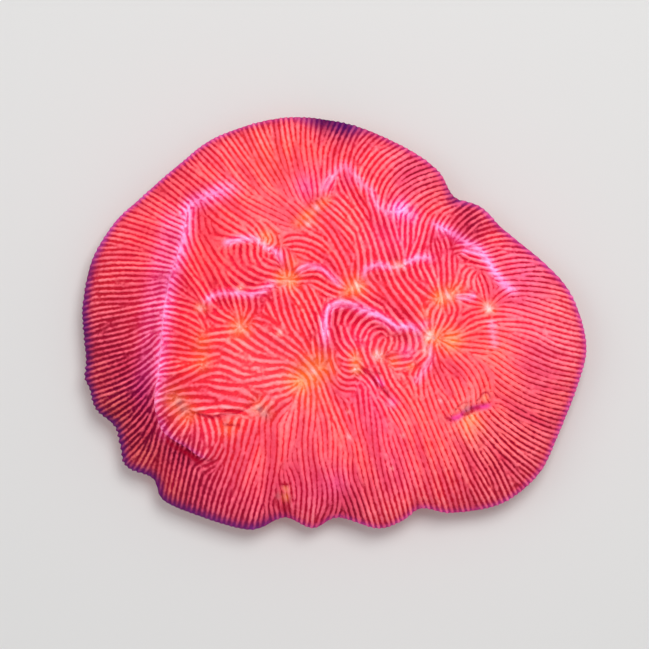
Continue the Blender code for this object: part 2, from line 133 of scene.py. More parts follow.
# Cups that the ridges run into: the mouth from one end to the other, and its strength
CUPS = [
    ((-7.4, 6.5), (-6.6, 6.5), 1), ((2.2, 5), (3.6, 5.8), 1), ((15.6, 3.7), (17.2, 4.3), 1),
    ((22.9, 2.3), (23.1, 2.3), 0.8), ((14.3, -2.1), (15.3, -2.4), 1), ((-4.7, -8.4), (-2.4, -6.7), 1.3),
    ((-14.1, -0.6), (-13.9, -0.6), 0.9), ((-19.7, -2.5), (-19.7, -6.3), 0.8),
    ((-20, 2.3), (-19.8, 2.3), 0.4), ((-23.6, -11.3), (-21.7, -13.4), 0.9),
    ((-11.5, -12), (-10, -13.4), 0.9), ((3.1, -5.4), (3.2, -6.8), 0.8), ((6.6, -5), (6.9, -5.1), 0.7),
    ((-5.5, 14.9), (-1.4, 18.3), 1), ((9, 8.4), (9.9, 8.5), 0.5), ((17.4, -14.2), (23.2, -12), 0.8),
    ((-10.9, 12.4), (-8, 11.9), 0.7), ((-14, 5.2), (-13.8, 5.2), 0.25), ((11.2, -6.4), (11.4, -6.4), 0.3)]

# Crests of walls and folds, in pixels of the photograph: x and y by turns
FOLDS = {
    "left wall": (250, 198, 232, 190, 205, 199, 190, 208, 187, 225, 180, 255, 172, 280, 167, 310, 164, 340,
        161, 370, 160, 400, 163, 430),
    "left halo": (187, 200, 179, 212, 173, 235, 164, 270, 157, 305, 153, 340, 150, 370, 149, 400, 152, 420),
    "wall foot": (161, 350, 159, 370, 158, 390, 159, 408, 162, 424, 166, 436, 172, 444),
    "lip": (163, 410, 168, 425, 177, 436, 189, 443, 203, 453, 211, 459),
    "peak": (316, 206, 325, 190, 333, 177, 344, 168, 352, 174, 360, 184, 370, 192, 376, 206, 388, 213, 404,
        212, 418, 221),
    "right wall": (424, 220, 440, 228, 452, 234, 465, 243, 478, 249, 486, 260, 492, 270, 499, 279, 507, 288,
        522, 296),
    "inner right wall": (458, 250, 468, 252, 478, 254, 485, 262, 489, 270),
    "middle wall": (359, 287, 364, 272, 376, 266, 390, 268, 402, 266, 412, 260, 424, 258, 438, 262),
    "shelf": (202, 308, 210, 299, 222, 294, 238, 294, 252, 295, 262, 292, 272, 285, 284, 283),
    "hook": (220, 247, 233, 242, 246, 240, 258, 241, 265, 247, 274, 251, 281, 257, 284, 268),
    "arch": (294, 276, 304, 268, 318, 268, 332, 278, 346, 292),
    "ear": (326, 356, 325, 335, 326, 316, 333, 306, 348, 304, 362, 310, 374, 314, 386, 321, 396, 327, 410,
        327, 420, 334, 427, 344),
    "below ear": (425, 340, 430, 352, 427, 364, 419, 376, 412, 386),
    "right ridge": (490, 318, 491, 332, 494, 350),
    "short ridge": (452, 296, 464, 298, 476, 296),
    "scar back": (446, 416, 455, 408, 463, 404, 470, 402, 480, 399, 490, 398),
    "scar front": (452, 424, 461, 416, 470, 413, 482, 409, 493, 404),
    "scar": (446, 419, 452, 418, 458, 416, 463, 412, 468, 409, 475, 407, 484, 406, 492, 404),
    "scar low": (461, 415, 465, 413, 470, 411, 475, 408, 480, 408),
    "scar end": (443, 415, 447, 418, 452, 420),
    "scar top": (452, 412, 457, 406, 463, 402, 468, 402, 473, 400),
    "scar arch": (473, 402, 478, 398, 481, 393, 486, 392, 489, 396, 490, 401),
    "crease": (360, 367, 364, 370, 367, 374, 373, 377, 376, 383, 380, 387),
    "crease end": (378, 382, 382, 389, 386, 392, 389, 399),
    "crease side": (375, 378, 379, 382, 383, 386),
    "crease branch": (359, 371, 363, 369, 367, 369, 371, 372, 377, 372, 383, 375),
    "lip shadow": (164, 436, 172, 444, 184, 450, 197, 459, 207, 465),
    "ledge line": (194, 411, 206, 415, 216, 416, 226, 412, 238, 412, 247, 407, 257, 403),
    "small ledge": (222, 422, 230, 424, 242, 424),
    "front fold": (278, 484, 285, 483, 293, 484),
    "front fold side": (279, 486, 277, 495, 276, 502, 279, 508, 285, 509, 290, 503, 291, 494, 290, 486)}

# Walls: fold, height and half-width of its swelling, and height of the thin line along its crest
WALLS = [
    ("left wall", 1.3, 1.4, 0.12), ("peak", 1.6, 1.4, 0.1), ("right wall", 1.6, 1.3, 0.15),
    ("inner right wall", 0.6, 0.7, 0.12), ("middle wall", 1.1, 0.9, 0.12), ("shelf", 1.1, 0.9, 0.12),
    ("hook", 1.1, 0.9, 0.12), ("arch", 0.9, 0.8, 0.1), ("ear", 2, 1.1, 0.15), ("below ear", 0.5, 0.8, 0.08),
    ("right ridge", 0.9, 0.9, 0.05), ("short ridge", 0.6, 0.6, 0.12), ("scar back", 0.4, 0.8, 0),
    ("scar front", 0.3, 0.8, 0)]
CREST_LINE_WIDTH = 0.28
CREST_LINE_SHARE = 0.85

# Steps: height, reach of the raised side, overhang, and places with the raised side on their left
STEPS = [
    (1.2, 5, 0.2, [(-14, 19.4), (-19.4, 18.8), (-21.9, 17.2), (-22.3, 14.7), (-23.4, 10.2), (-24.6, 6.5),
        (-25.4, 2), (-25.8, -2.6), (-26.2, -7.1), (-26.4, -11.6)]),
    (2.2, 4.6, 0.7, [(-26.1, -7.5), (-26.5, -12), (-25.6, -15.7), (-23.9, -17.2), (-21.8, -18.4),
        (-19.9, -19.8), (-17.9, -20.8)]),
    (1, 2.6, 0.15, [(-22, -12.4), (-21.2, -13.1), (-17.9, -13.8), (-16, -13), (-13.7, -12.6),
        (-11.9, -11.7)])]
STEP_RISE = 0.45
OVERHANG_REACH = 2.0
FADE_SOFTNESS = 0.1
FADE_STEPS = 16

# Grooves: depth, half-width and places along the bottom
GROOVES = [
    (0.6, 0.35, [(17, -14.3), (18.6, -13.6), (20.6, -12.9), (23.6, -12)]),
    (0.25, 0.35, [(4, -6.8), (5, -7.8), (6, -8.7), (7, -10)]),
    (0.8, 0.5, [(-7.7, -24), (-7.6, -26.5), (-7.2, -29.8)]),
    (0.7, 1.2, [(-6.4, 14.2), (-3.6, 16.2), (-1.2, 18.6)]),
    (0.3, 0.3, [(-15.8, -15.1), (-14.9, -15.3), (-13.9, -15.1)])]

# Ridges traced over the colony, in pixels of the photograph: x and y by turns
TRACED_RIDGES = [
    # left skirt
    (124, 222, 150, 228, 183, 240), (140, 200, 160, 212, 184, 224), (160, 185, 175, 197, 190, 207),
    (108, 240, 140, 245, 178, 256), (97, 258, 120, 255, 145, 257, 174, 262),
    (88, 281, 112, 275, 140, 276, 170, 276), (85, 305, 105, 298, 135, 298, 165, 290),
    (86, 325, 110, 318, 140, 312, 165, 305), (90, 345, 115, 338, 140, 331, 162, 323),
    (90, 368, 120, 360, 145, 350, 162, 338), (100, 388, 130, 378, 150, 366, 161, 354),
    (110, 408, 135, 394, 152, 380, 160, 370), (122, 432, 140, 420, 153, 404, 159, 388),
    (124, 455, 140, 441, 152, 425, 158, 410), (140, 466, 150, 450, 157, 430),
    # front
    (158, 488, 163, 465, 167, 446), (172, 498, 178, 475, 182, 455), (190, 508, 196, 485, 200, 466),
    (210, 517, 217, 490, 228, 466, 238, 448), (232, 523, 240, 490, 250, 460, 256, 438),
    (257, 524, 263, 490, 268, 455, 268, 425), (273, 516, 270, 500, 271, 480, 275, 460, 277, 440),
    (297, 520, 300, 500, 297, 480, 290, 460, 293, 430, 300, 392),
    (309, 526, 313, 500, 310, 480, 309, 460, 308, 430, 309, 386),
    (323, 520, 332, 500, 333, 484, 328, 472, 325, 456, 326, 430, 316, 382),
    (359, 520, 355, 504, 345, 488, 342, 476, 344, 460, 343, 435, 328, 390),
    (362, 388, 366, 430, 367, 460, 371, 484, 380, 505, 386, 524), (378, 392, 392, 430, 402, 470, 410, 505),
    (395, 395, 412, 430, 427, 470, 440, 505), (405, 375, 422, 405, 436, 440, 450, 475, 458, 506),
    (424, 372, 435, 405, 452, 445, 480, 502), (200, 464, 213, 463, 223, 457, 231, 444),
    (235, 429, 232, 448, 224, 474, 217, 500), (225, 430, 221, 446, 212, 456), (283, 485, 288, 500, 291, 518),
    # front right
    (432, 350, 440, 380, 455, 409), (438, 348, 456, 372, 464, 402),
    (445, 349, 466, 372, 472, 388, 467, 403), (455, 351, 478, 368, 486, 385, 484, 402),
    (463, 418, 475, 440, 492, 465, 508, 494), (473, 416, 495, 440, 515, 460, 533, 474),
    (484, 411, 510, 430, 532, 445, 548, 452), (494, 396, 515, 409, 540, 420, 561, 424),
    (497, 380, 520, 392, 545, 402, 569, 405), (492, 355, 510, 369, 535, 380, 577, 387),
    (496, 340, 520, 348, 550, 360, 583, 367), (500, 325, 530, 333, 560, 345, 584, 350),
    (498, 310, 530, 318, 560, 328, 582, 333), (512, 297, 535, 302, 560, 310, 577, 317),
    # back right
    (510, 287, 535, 288, 555, 290, 570, 294), (505, 277, 530, 275, 550, 277, 562, 281),
    (496, 264, 515, 260, 535, 260, 546, 264), (484, 250, 500, 243, 520, 246),
    (470, 243, 485, 231, 502, 229), (455, 236, 470, 220, 486, 212), (440, 225, 455, 211, 468, 203),
    (418, 212, 430, 202, 450, 197), (405, 205, 420, 194, 445, 187),
    (392, 203, 402, 188, 420, 178, 441, 176), (380, 205, 388, 185, 404, 168, 425, 160),
    (368, 190, 374, 173, 388, 158, 405, 147), (355, 176, 358, 162, 368, 148, 382, 138),
    (340, 162, 343, 146, 352, 132),
    # back
    (327, 175, 326, 150, 333, 128), (318, 190, 311, 165, 308, 145, 310, 124),
    (303, 198, 292, 170, 284, 145, 280, 122), (287, 196, 270, 168, 258, 145, 252, 126),
    (264, 190, 246, 168, 234, 150, 224, 136), (243, 186, 226, 168, 213, 152, 205, 146),
    (222, 192, 206, 177, 192, 163, 188, 158), (205, 197, 190, 184, 174, 172),
    # left of the raised middle
    (232, 194, 250, 210, 268, 228, 276, 240), (255, 203, 280, 216, 298, 224),
    (275, 196, 292, 207, 303, 215), (197, 213, 193, 232, 203, 262, 217, 291),
    (187, 240, 193, 262, 207, 294), (181, 258, 190, 275, 203, 300), (172, 280, 186, 290, 200, 304),
    (169, 300, 185, 304, 198, 308), (167, 316, 185, 321, 202, 332), (165, 335, 185, 340, 202, 350),
    (163, 356, 182, 356, 200, 357), (163, 372, 182, 370, 201, 362), (168, 386, 184, 378, 202, 372),
    (163, 398, 172, 396, 180, 398), (163, 418, 172, 411, 184, 405), (168, 433, 178, 422, 189, 413),
    (181, 443, 187, 430, 192, 417), (197, 455, 201, 435, 197, 418), (205, 459, 213, 443, 206, 423),
    (222, 462, 228, 445, 222, 428), (215, 205, 235, 222, 254, 239, 268, 245),
    (228, 202, 250, 221, 270, 240), (252, 241, 232, 231, 216, 221, 207, 216),
    (246, 240, 228, 238, 212, 238, 206, 229, 209, 219), (200, 213, 203, 226, 206, 240, 218, 262, 234, 284),
    (212, 246, 222, 266, 236, 282),
    # hook, shelf and middle
    (206, 346, 222, 341, 238, 345, 256, 356, 282, 363, 302, 370),
    (205, 360, 222, 354, 240, 362, 260, 370, 285, 369, 304, 373),
    (206, 374, 224, 368, 248, 378, 270, 376, 300, 379), (206, 388, 228, 391, 246, 391, 257, 400),
    (192, 402, 220, 401, 240, 399, 254, 402), (264, 401, 275, 393, 288, 390, 300, 383),
    (273, 416, 279, 404, 288, 398), (247, 330, 262, 343, 285, 358, 302, 367),
    (252, 318, 270, 325, 290, 345, 306, 364), (278, 290, 288, 312, 301, 338, 310, 362),
    (291, 286, 301, 310, 312, 340, 314, 362), (303, 287, 311, 310, 318, 340, 317, 364),
    (208, 314, 222, 320, 236, 326), (206, 334, 222, 332, 237, 331), (283, 250, 285, 262, 287, 275),
    (293, 280, 310, 271, 328, 276, 345, 287), (292, 284, 308, 279, 322, 283, 334, 292),
    (222, 246, 234, 242, 246, 241), (226, 246, 224, 256, 229, 266), (233, 246, 231, 258, 238, 270),
    (241, 247, 241, 260, 249, 271, 264, 276), (249, 248, 250, 262, 259, 271, 278, 276),
    (257, 247, 257, 260, 264, 268, 280, 273), (265, 250, 263, 261, 272, 266),
    (240, 273, 258, 279, 280, 278), (232, 284, 244, 290, 260, 289, 272, 284, 283, 282),
    (270, 247, 288, 240, 305, 241, 318, 250), (214, 303, 221, 313, 233, 321),
    (225, 298, 228, 310, 236, 320), (237, 297, 238, 309, 241, 321), (248, 297, 250, 309, 246, 321),
    (257, 299, 256, 311, 250, 322), (261, 301, 268, 297, 273, 307, 279, 322, 294, 344, 308, 362),
    (259, 320, 272, 332, 290, 350, 304, 366), (210, 307, 207, 318, 208, 328),
    # back of the raised middle
    (303, 226, 320, 240, 338, 262, 350, 282), (314, 218, 334, 236, 348, 260, 355, 280),
    (325, 206, 345, 222, 357, 248, 359, 278), (335, 195, 352, 212, 365, 242, 369, 268),
    (345, 181, 360, 210, 373, 240, 380, 262), (288, 244, 308, 243, 325, 256, 344, 282),
    (366, 196, 376, 225, 388, 262), (388, 220, 394, 240, 397, 262), (404, 222, 404, 240, 403, 260),
    (420, 226, 417, 242, 411, 258), (432, 230, 428, 245, 424, 258), (330, 183, 322, 195, 318, 203),
    # right of the raised middle
    (422, 262, 430, 278, 439, 293), (436, 260, 441, 275, 444, 291), (450, 262, 450, 276, 448, 291),
    (408, 268, 418, 285, 432, 297), (392, 273, 407, 298, 425, 328), (373, 277, 396, 302, 420, 328),
    (362, 292, 384, 305, 404, 318, 424, 333), (340, 297, 360, 301, 380, 310),
    (453, 290, 465, 283, 474, 270), (455, 298, 468, 301, 480, 306), (438, 303, 429, 312, 427, 328),
    (444, 303, 446, 318, 436, 333), (455, 302, 458, 315, 450, 328), (487, 303, 487, 292, 480, 276),
    (492, 303, 502, 294, 515, 291), (493, 308, 510, 307, 530, 313), (480, 308, 468, 311, 458, 318),
    (437, 336, 456, 331, 474, 325, 489, 319), (438, 339, 460, 340, 489, 341),
    (438, 343, 462, 349, 488, 349), (462, 256, 470, 262, 482, 262), (452, 250, 462, 248, 474, 250),
    (441, 238, 448, 246, 444, 256), (432, 238, 434, 252, 440, 268, 443, 286),
    (447, 243, 449, 256, 448, 272), (478, 262, 467, 262, 460, 270, 460, 281),
    (484, 268, 473, 268, 467, 275, 469, 284),
    # fold like an ear
    (326, 332, 326, 316, 333, 305, 350, 306), (332, 312, 331, 325, 334, 340, 345, 355, 353, 364),
    (337, 309, 336, 325, 341, 340, 352, 354), (343, 308, 341, 322, 346, 338, 354, 350),
    (350, 310, 346, 325, 351, 340, 357, 352), (358, 312, 352, 324, 354, 340, 360, 352),
    (367, 315, 359, 326, 358, 338, 364, 351), (360, 345, 363, 331, 374, 321, 389, 324, 398, 335, 401, 349),
    (369, 347, 372, 335, 382, 328, 392, 334, 393, 346), (377, 346, 380, 338, 386, 335, 387, 344),
    (403, 330, 408, 341, 407, 352, 399, 359), (412, 331, 415, 344, 413, 354, 404, 362),
    (421, 337, 422, 349, 416, 358), (391, 356, 400, 353, 409, 356), (392, 364, 405, 359, 419, 351),
    (396, 371, 408, 365, 421, 357), (409, 374, 415, 366, 424, 360, 431, 352),
    (404, 372, 411, 385, 415, 400), (418, 365, 417, 378, 419, 394), (332, 346, 336, 359, 350, 368),
    (330, 352, 334, 368, 343, 377, 354, 377), (327, 372, 336, 384, 352, 387),
    (363, 373, 378, 389, 395, 404), (374, 368, 388, 384, 402, 402), (384, 362, 394, 376, 408, 398),
    (318, 340, 320, 352, 322, 364)]

# Height of a ridge, from -1 to 1, at which its light crest begins and is full: narrow and broad crests
CREST_FROM = (-0.65, -0.92)
CREST_TO = (0.65, -0.08)
# How far the valleys widen in the painted shade of the deep patches
SHADE_SHIFT = 0.3
# Painted highlight along the crests: height of a ridge at which it begins, its strength on flat and on raised
# places, and how much less of it broad crests get; then how far the streaks spread
SHINE_FROM = 0.15
SHINE = (0.45, 0.95)
LESS_SHINE_IF_BROAD = 0.6
STREAK_SPREAD = 0.2

# Painted light and shade by the folds: reach over which heights are compared, the height that counts in full
# for the painted highlight on raised places, the depth that counts in full for the painted shade in hollows,
# and the strength of that painted shade
RELIEF_REACH = 1.0
RAISED_HEIGHT = 0.5
HOLLOW_DEPTH = 0.28
HOLLOW_SHARE = 0.8

# Glow round each cup, in the order of CUPS: reach and strength
CUP_GLOWS = [
    (1.4, 0.9), (1.5, 0.7), (1.4, 0.7), (1.1, 0.5), (1.6, 0.6), (2.3, 0.9), (1.6, 0.6), (1.3, 0.35),
    (0.8, 0.5), (1.6, 0.4), (1.2, 0.3), (1, 0.6), (0.9, 0.3), (1, 0.5), (0.8, 0.4), (1, 0), (0.8, 0.2),
    (0.5, 0.2), (0.6, 0.4)]

# Patches of colour: x, y, reach and strength
PATCHES = {
    "glow": [(17.2, -2.6, 1.8, 0.8), (20.4, -15.4, 1.8, 0.35), (20.1, -14.1, 1.2, 0.5),
        (22.3, -11.2, 0.6, 0.5), (-7.3, -24.7, 0.5, 0.6), (-7.3, -26.1, 0.6, 0.7),
        (-15.8, -15.6, 1.3, 0.35), (-3.6, -11, 2.4, 0.3), (3, -5, 1.1, 0.5), (8.8, -5.6, 0.9, 0.5),
        (-10, 12.6, 1.4, 0.5), (-3.4, 16.2, 1.6, 0.2), (-14.2, 0.2, 1.8, 0.3), (18, 4.6, 1.5, 0.4),
        (13.6, 1.4, 1.2, 0.3), (-24, -10, 1.2, 0.2), (-6.3, 8.7, 1.3, 0.35), (-10, 24, 4, 0.12),
        (24, -4, 3, 0.15)],
    # Deep patches: painted shade on the slopes that fall away from the light, mostly at the front and left
    "deep": [(-34, -3, 7.5, 0.7), (-30, -13, 7, 0.95), (-21, -25, 6.5, 0.8), (-12, -30, 5, 0.5),
        (2, -31, 7, 0.25), (22, -24, 6, 0.35), (31, -14, 7, 0.35), (-33, 6, 6, 0.25), (1, 30, 3.4, 1),
        (-22.5, -19, 3, 0.5), (19, 18, 2.2, 0.6), (14, 22, 3, 0.3), (3.4, -7.2, 0.8, 0.7),
        (-8, -24, 6, 0.3), (2, -24, 7, 0.15), (12, -24, 7, 0.2), (20.8, 14.6, 2.4, 0.75),
        (-29, -18.5, 4, 0.4), (3.4, -27, 2.6, 0.35)],
    # Groove patches: painted shade, darker valley floors in places
    "groove": [(25, -21, 8, 0.85), (27.5, -17, 5, 0.4), (32.5, -2, 5, 0.35), (11, 23, 4, 0.35),
        (32, -11, 7, 0.6), (30, 8, 6, 0.8), (14, 22, 6, 0.7), (8, -25, 6, 0.35), (-2, -28, 6, 0.4),
        (-6, 28, 6, 0.25), (-24, 20, 6, 0.3), (-30, 8, 6, 0.3)],
    "cool": [(8.6, 13.2, 4.5, 0.9), (32, -3.3, 6, 0.6), (11.3, 23, 5, 0.5), (-2.2, -26, 5, 0.5),
        (-29, 12, 6, 0.1), (3.8, -1.8, 4, 0.6), (-20.6, -17, 3, 0.4), (28.6, 8.7, 5, 0.7),
        (4.5, -10.5, 3, 0.5), (6.4, -14.5, 3, 0.45), (8.2, -19, 3, 0.4), (9.6, -24, 3.2, 0.4),
        (0.6, -24, 2.2, 0.7), (-19.4, -25, 6, 0.5), (-2.5, 20, 4, 0.7), (27, 4, 5, 0.5), (17, 12, 4, 0.5)],
    "light": [(-3, -17, 5, 0.35), (9.8, -3.3, 3, 0.8), (19.6, -15, 4.5, 0.5), (-9.7, 16.2, 4.5, 0.7),
        (-10, -5, 5, 0.4), (33, 0, 7, 0.4), (14, -9, 4, 0.25), (22, -2, 4, 0.1), (7, 9, 4, 0.2),
        (20, 8, 4, 0.3), (-12, 8, 4, 0.1), (-12, -9, 6, 0.6), (25, 4, 6, 0.1), (13, -3.6, 2, 0.4)],
    "warm": [(-18, 8, 7, 0.6), (-24, 18, 7, 0.5), (-27, 11, 5, 0.4), (-22, -3, 5, 0.5), (-8, 24, 8, 0.3),
        (20, -1, 5, 0.4)],
    "amber": [(-33.5, -13.5, 3.5, 0.8), (-29, -20, 3, 0.8), (-25, -25, 2.6, 0.7), (-35.5, -7, 2.5, 0.4)],
    "violet": [(9.6, 17, 1.5, 1), (11.6, 15.8, 1.2, 0.6), (6.4, 17.6, 1, 0.3), (-22.2, 16.4, 1.4, 0.5),
        (-25.4, 2, 1.4, 0.4), (2, 21.6, 1.4, 0.35), (-4.4, 20.4, 1.5, 0.4), (-7.6, 5.6, 0.6, 0.7),
        (16, 14, 1.2, 0.4), (23, 9.2, 1.2, 0.4), (6.2, -8.6, 0.7, 0.5), (8.6, -11.8, 0.8, 0.4),
        (12.6, -2.4, 0.9, 0.5), (4.8, 6, 1, 0.3), (13.2, -0.6, 1.1, 0.5), (10.8, -4.2, 1.4, 0.4),
        (21.8, 10.4, 1.3, 0.35)],
    "bare": [(-23, -11.7, 0.6, 0.7), (-22.3, -12.8, 0.7, 0.6), (-11.2, -12.7, 0.6, 0.8),
        (-10.4, -13.6, 0.7, 0.7), (-2.4, 16.8, 0.28, 0.9), (14.7, -2.25, 0.3, 1), (19.7, -12.8, 0.6, 0.5),
        (9.7, 8.5, 0.3, 0.9), (-8.3, -25.9, 0.5, 0.4)],
    # Pale spots at the cups: partly pale tissue, partly painted highlights
    "pale": [(22.9, 2.2, 0.55, 0.9), (16.8, 4.1, 0.7, 0.6), (-3.3, -7.2, 0.6, 0.6), (-7, 6.3, 0.4, 0.4),
        (-14, -0.7, 0.5, 0.5), (14, -1.85, 0.55, 1.3), (13.8, -4.4, 0.6, 0.4), (6.4, -4.7, 0.7, 0.9),
        (3.1, -6.9, 0.35, 0.6), (3.2, 5.6, 0.6, 0.5), (9.4, 8.7, 0.5, 0.6), (-19.8, 2.2, 0.5, 0.6),
        (-2.8, 17.2, 0.5, 0.8), (-3.9, 14.8, 0.5, 0.6), (2, -13.2, 0.25, 0.6), (2.1, -16.9, 0.3, 0.6),
        (10.1, -16.8, 0.3, 0.6), (15.8, -11.6, 0.3, 0.6), (8.6, -21.7, 0.25, 0.5), (-8.2, -1.6, 0.4, 0.6),
        (-14, 5.2, 0.4, 0.5)]}
# Painted shade all round the edge, where it curves down: strength and reach
EDGE_SHADE = 0.35
EDGE_SHADE_REACH = 1.6

# Bands along folds: fold, half-width and strength; the dark bands are painted shade in creases, in the slit
# of the scar and under ledges, and no painted shade of the deep patches and the edge gets into the clear ones
BANDS = {
    # The left halo is violet on the skirt side of the left wall, partly its own colour and partly painted
    # shade on that side of the wall
    "violet": [("left wall", 1.35, 1), ("left halo", 1.9, 0.72), ("lip", 0.45, 0.8),
        ("wall foot", 0.7, 0.95), ("peak", 0.8, 0.5), ("right wall", 0.75, 1),
        ("inner right wall", 0.65, 0.85), ("middle wall", 0.65, 0.8), ("shelf", 0.65, 0.75),
        ("hook", 0.6, 0.75), ("arch", 0.55, 0.7), ("ear", 0.75, 0.95), ("below ear", 0.7, 0.5),
        ("right ridge", 0.7, 0.45), ("short ridge", 0.55, 0.8), ("crease side", 0.45, 1)],
    "clear": [("left wall", 0.9, 0.9), ("wall foot", 0.6, 0.8)],
    # Painted shade along the creases, the slit of the scar, under the ledges and at a front fold
    "dark": [("crease", 0.3, 0.8), ("crease end", 0.22, 0.6), ("crease branch", 0.2, 0.5),
        ("scar low", 0.3, 1), ("scar end", 0.26, 0.85), ("scar arch", 0.2, 0.55), ("scar top", 0.2, 0.5),
        ("lip shadow", 0.4, 0.6), ("ledge line", 0.25, 0.6), ("small ledge", 0.2, 0.5),
        ("front fold", 0.25, 0.7), ("front fold side", 0.3, 0.5)],
    "scar": [("scar", 0.42, 1)]}
# How soon the painted shade of the dark bands is full
SHADE_LINES_FULL = 1.5
VIOLET_IN_VALLEYS = 0.6
# Share of the violet lost in the painted shade of hollows
VIOLET_LOST_IN_HOLLOWS = 0.7

# Growing edge: direction from the middle in degrees, and width, strength and lightness there; its purple is
# the coral's own, and its darker stretches are partly painted shade where the edge curves down
RIM = [
    (0, 0.5, 0.5, 0.9), (30, 0.5, 0.5, 0.8), (41, 0.5, 0.45, 0.7), (46, 1.1, 0.6, 0.1), (52, 0.6, 0.4, 0.6),
    (60, 0.5, 0.35, 0.8), (80, 0.5, 0.4, 0.5), (86, 1.9, 0.9, 0), (95, 1.8, 0.85, 0), (102, 0.4, 0.4, 0.6),
    (125, 0.35, 0.55, 0.95), (155, 0.35, 0.7, 0.9), (168, 0.8, 0.85, 0.2), (180, 1.1, 0.9, 0.05),
    (200, 0.8, 0.9, 0.05), (225, 1, 0.95, 0.1), (250, 1, 0.9, 0.2), (256, 0.5, 0.55, 0.4),
    (272, 0.45, 0.5, 0.6), (290, 0.5, 0.45, 0.7), (320, 0.5, 0.45, 0.8), (345, 0.5, 0.5, 0.9)]

# Rings, counted down from the edge, over which the tissue gives way to bare skeleton
UNDER_FROM = 1.5
UNDER_TO = 7

# Noise in the tissue: its scale and detail, the part of its range that counts and what that part becomes
TISSUE_NOISE = {
    "crinkle": (2400, 2, 0.25, 0.75, -0.22, 0.22),
    "patch": (260, 2, 0.35, 0.65, 0, 0.45),
    "drift": (70, 2, 0.35, 0.65, 0, 1),
    "broken": (800, 2, 0.4, 0.6, 0.65, 1),
    "speck": (1400, 3, 0.3, 0.7, 0, 1),
    "roughness": (900, 3, 0.3, 0.7, 0.6, 0.75)}
MAGENTA_BY_STREAK = (0.3, 0.6, 0.5, 0)
UNEVEN_BY_STREAK = (0.1, 0.9)
# Strength on the ridges of the painted shade in hollows
HOLLOW_SHADE_ON_RIDGES = 0.6
UNEVEN_TINTS = ((0.83, 0.56, 0.67, 1), (1.07, 1.21, 1.16, 1))
SPECK_TINTS = ((0.88, 0.72, 0.8, 1), (1.04, 1.12, 1.1, 1))
# Painted glow: the tissue gives off light of its own, redder than its colour and stronger on the violet
# walls, so that its shaded sides stay bright and saturated
PAINTED_GLOW_TINT = (1, 0.7, 0.8, 1)
PAINTED_GLOW = (0.36, 0.5)
SPECULAR = 0.06
GRAIN_NOISE = (4200, 2, 0.6)
GRAIN_STRENGTH = 0.3
GRAIN_DEPTH = 0.06

# Lights (place, size, power, tint), floor and camera
WORLD_STRENGTH = 0.44
LIGHTS = [
    ("key", (0.1, 0.2, 0.5), 0.25, 1.55, (1, 0.99, 0.97)),
    ("fill", (-0.35, 0.1, 0.5), 0.4, 0.4, (0.97, 0.98, 1))]
FLOOR_SIZE = 3
FLOOR_GREYS = ((226, 226, 226), (230, 230, 230))
FLOOR_NOISE = 9
FLOOR_ROUGHNESS = 0.9
PHOTO_WIDTH = 649
LENS = 180
MIDDLE_HEIGHT = 7.5


def smooth(share):
    """Eases from 0 to 1."""
    t = np.clip(share, 0, 1)
    return t * t * (3 - 2 * t)


def bell(distance, reach):
    """1 at no distance, falling softly to 0 beyond the reach."""
    return np.exp(-((distance / reach) ** 2))


def between(pair, share):
    """The value at that share of the way from the first of the pair to the second."""
    return pair[0] + (pair[1] - pair[0]) * share


def curve_through(points, closed=False):
    """Points about CURVE_STEP apart on a smooth curve through the given ones."""
    points = np.array(points, float)
    count = len(points)
    pieces = []
    for i in range(count if closed else count - 1):
        four = np.arange(i - 1, i + 3)
        before, start, end, after = points[four % count if closed else np.clip(four, 0, count - 1)]
        steps = max(2, int(np.hypot(*(end - start)) / CURVE_STEP))
        t = np.linspace(0, 1, steps, endpoint=False)[:, None]
        pieces.append(0.5 * (2 * start + (end - before) * t
                             + (2 * before - 5 * start + 4 * end - after) * t**2
                             + (3 * start - before - 3 * end + after) * t**3))
    pieces.append(points[:1] if closed else points[-1:])
    return np.concatenate(pieces)


def nearest(x, y, line):
    """Distance from each point to the line, share of its length passed there, and the offset from it."""
    distance = np.full(x.shape, np.inf)
    share = np.zeros(x.shape)
    offset_x = np.zeros(x.shape)
    offset_y = np.zeros(x.shape)
    left = np.zeros(x.shape, bool)
    runs = np.diff(line, axis=0)
    lengths = np.hypot(*runs.T)
    passed = np.concatenate([[0], np.cumsum(lengths)])
    for start, run, length, before in zip(line, runs, lengths, passed):
        t = np.clip(((x - start[0]) * run[0] + (y - start[1]) * run[1]) / length**2, 0, 1)
        dx = x - start[0] - t * run[0]
        dy = y - start[1] - t * run[1]
        gap = np.hypot(dx, dy)
        closer = gap < distance
        distance = np.where(closer, gap, distance)
        share = np.where(closer, (before + t * length) / passed[-1], share)
        offset_x = np.where(closer, dx, offset_x)
        offset_y = np.where(closer, dy, offset_y)
        left = np.where(closer, run[0] * dy > run[1] * dx, left)
    return distance, share, offset_x, offset_y, left


def taper(share):
    """Fades out a wall, step or groove towards both of its ends."""
    return smooth(share / END_TAPER) * smooth((1 - share) / END_TAPER)


def traced(pixels):
    """Smooth curve in millimetres from the middle; its places are given in pixels, x and y by turns."""
    x = (np.array(pixels[::2]) - MIDDLE_PIXEL[0]) * PIXEL
    y = (MIDDLE_PIXEL[1] - np.array(pixels[1::2])) * PIXEL
    return curve_through(np.stack([x, y], axis=1))


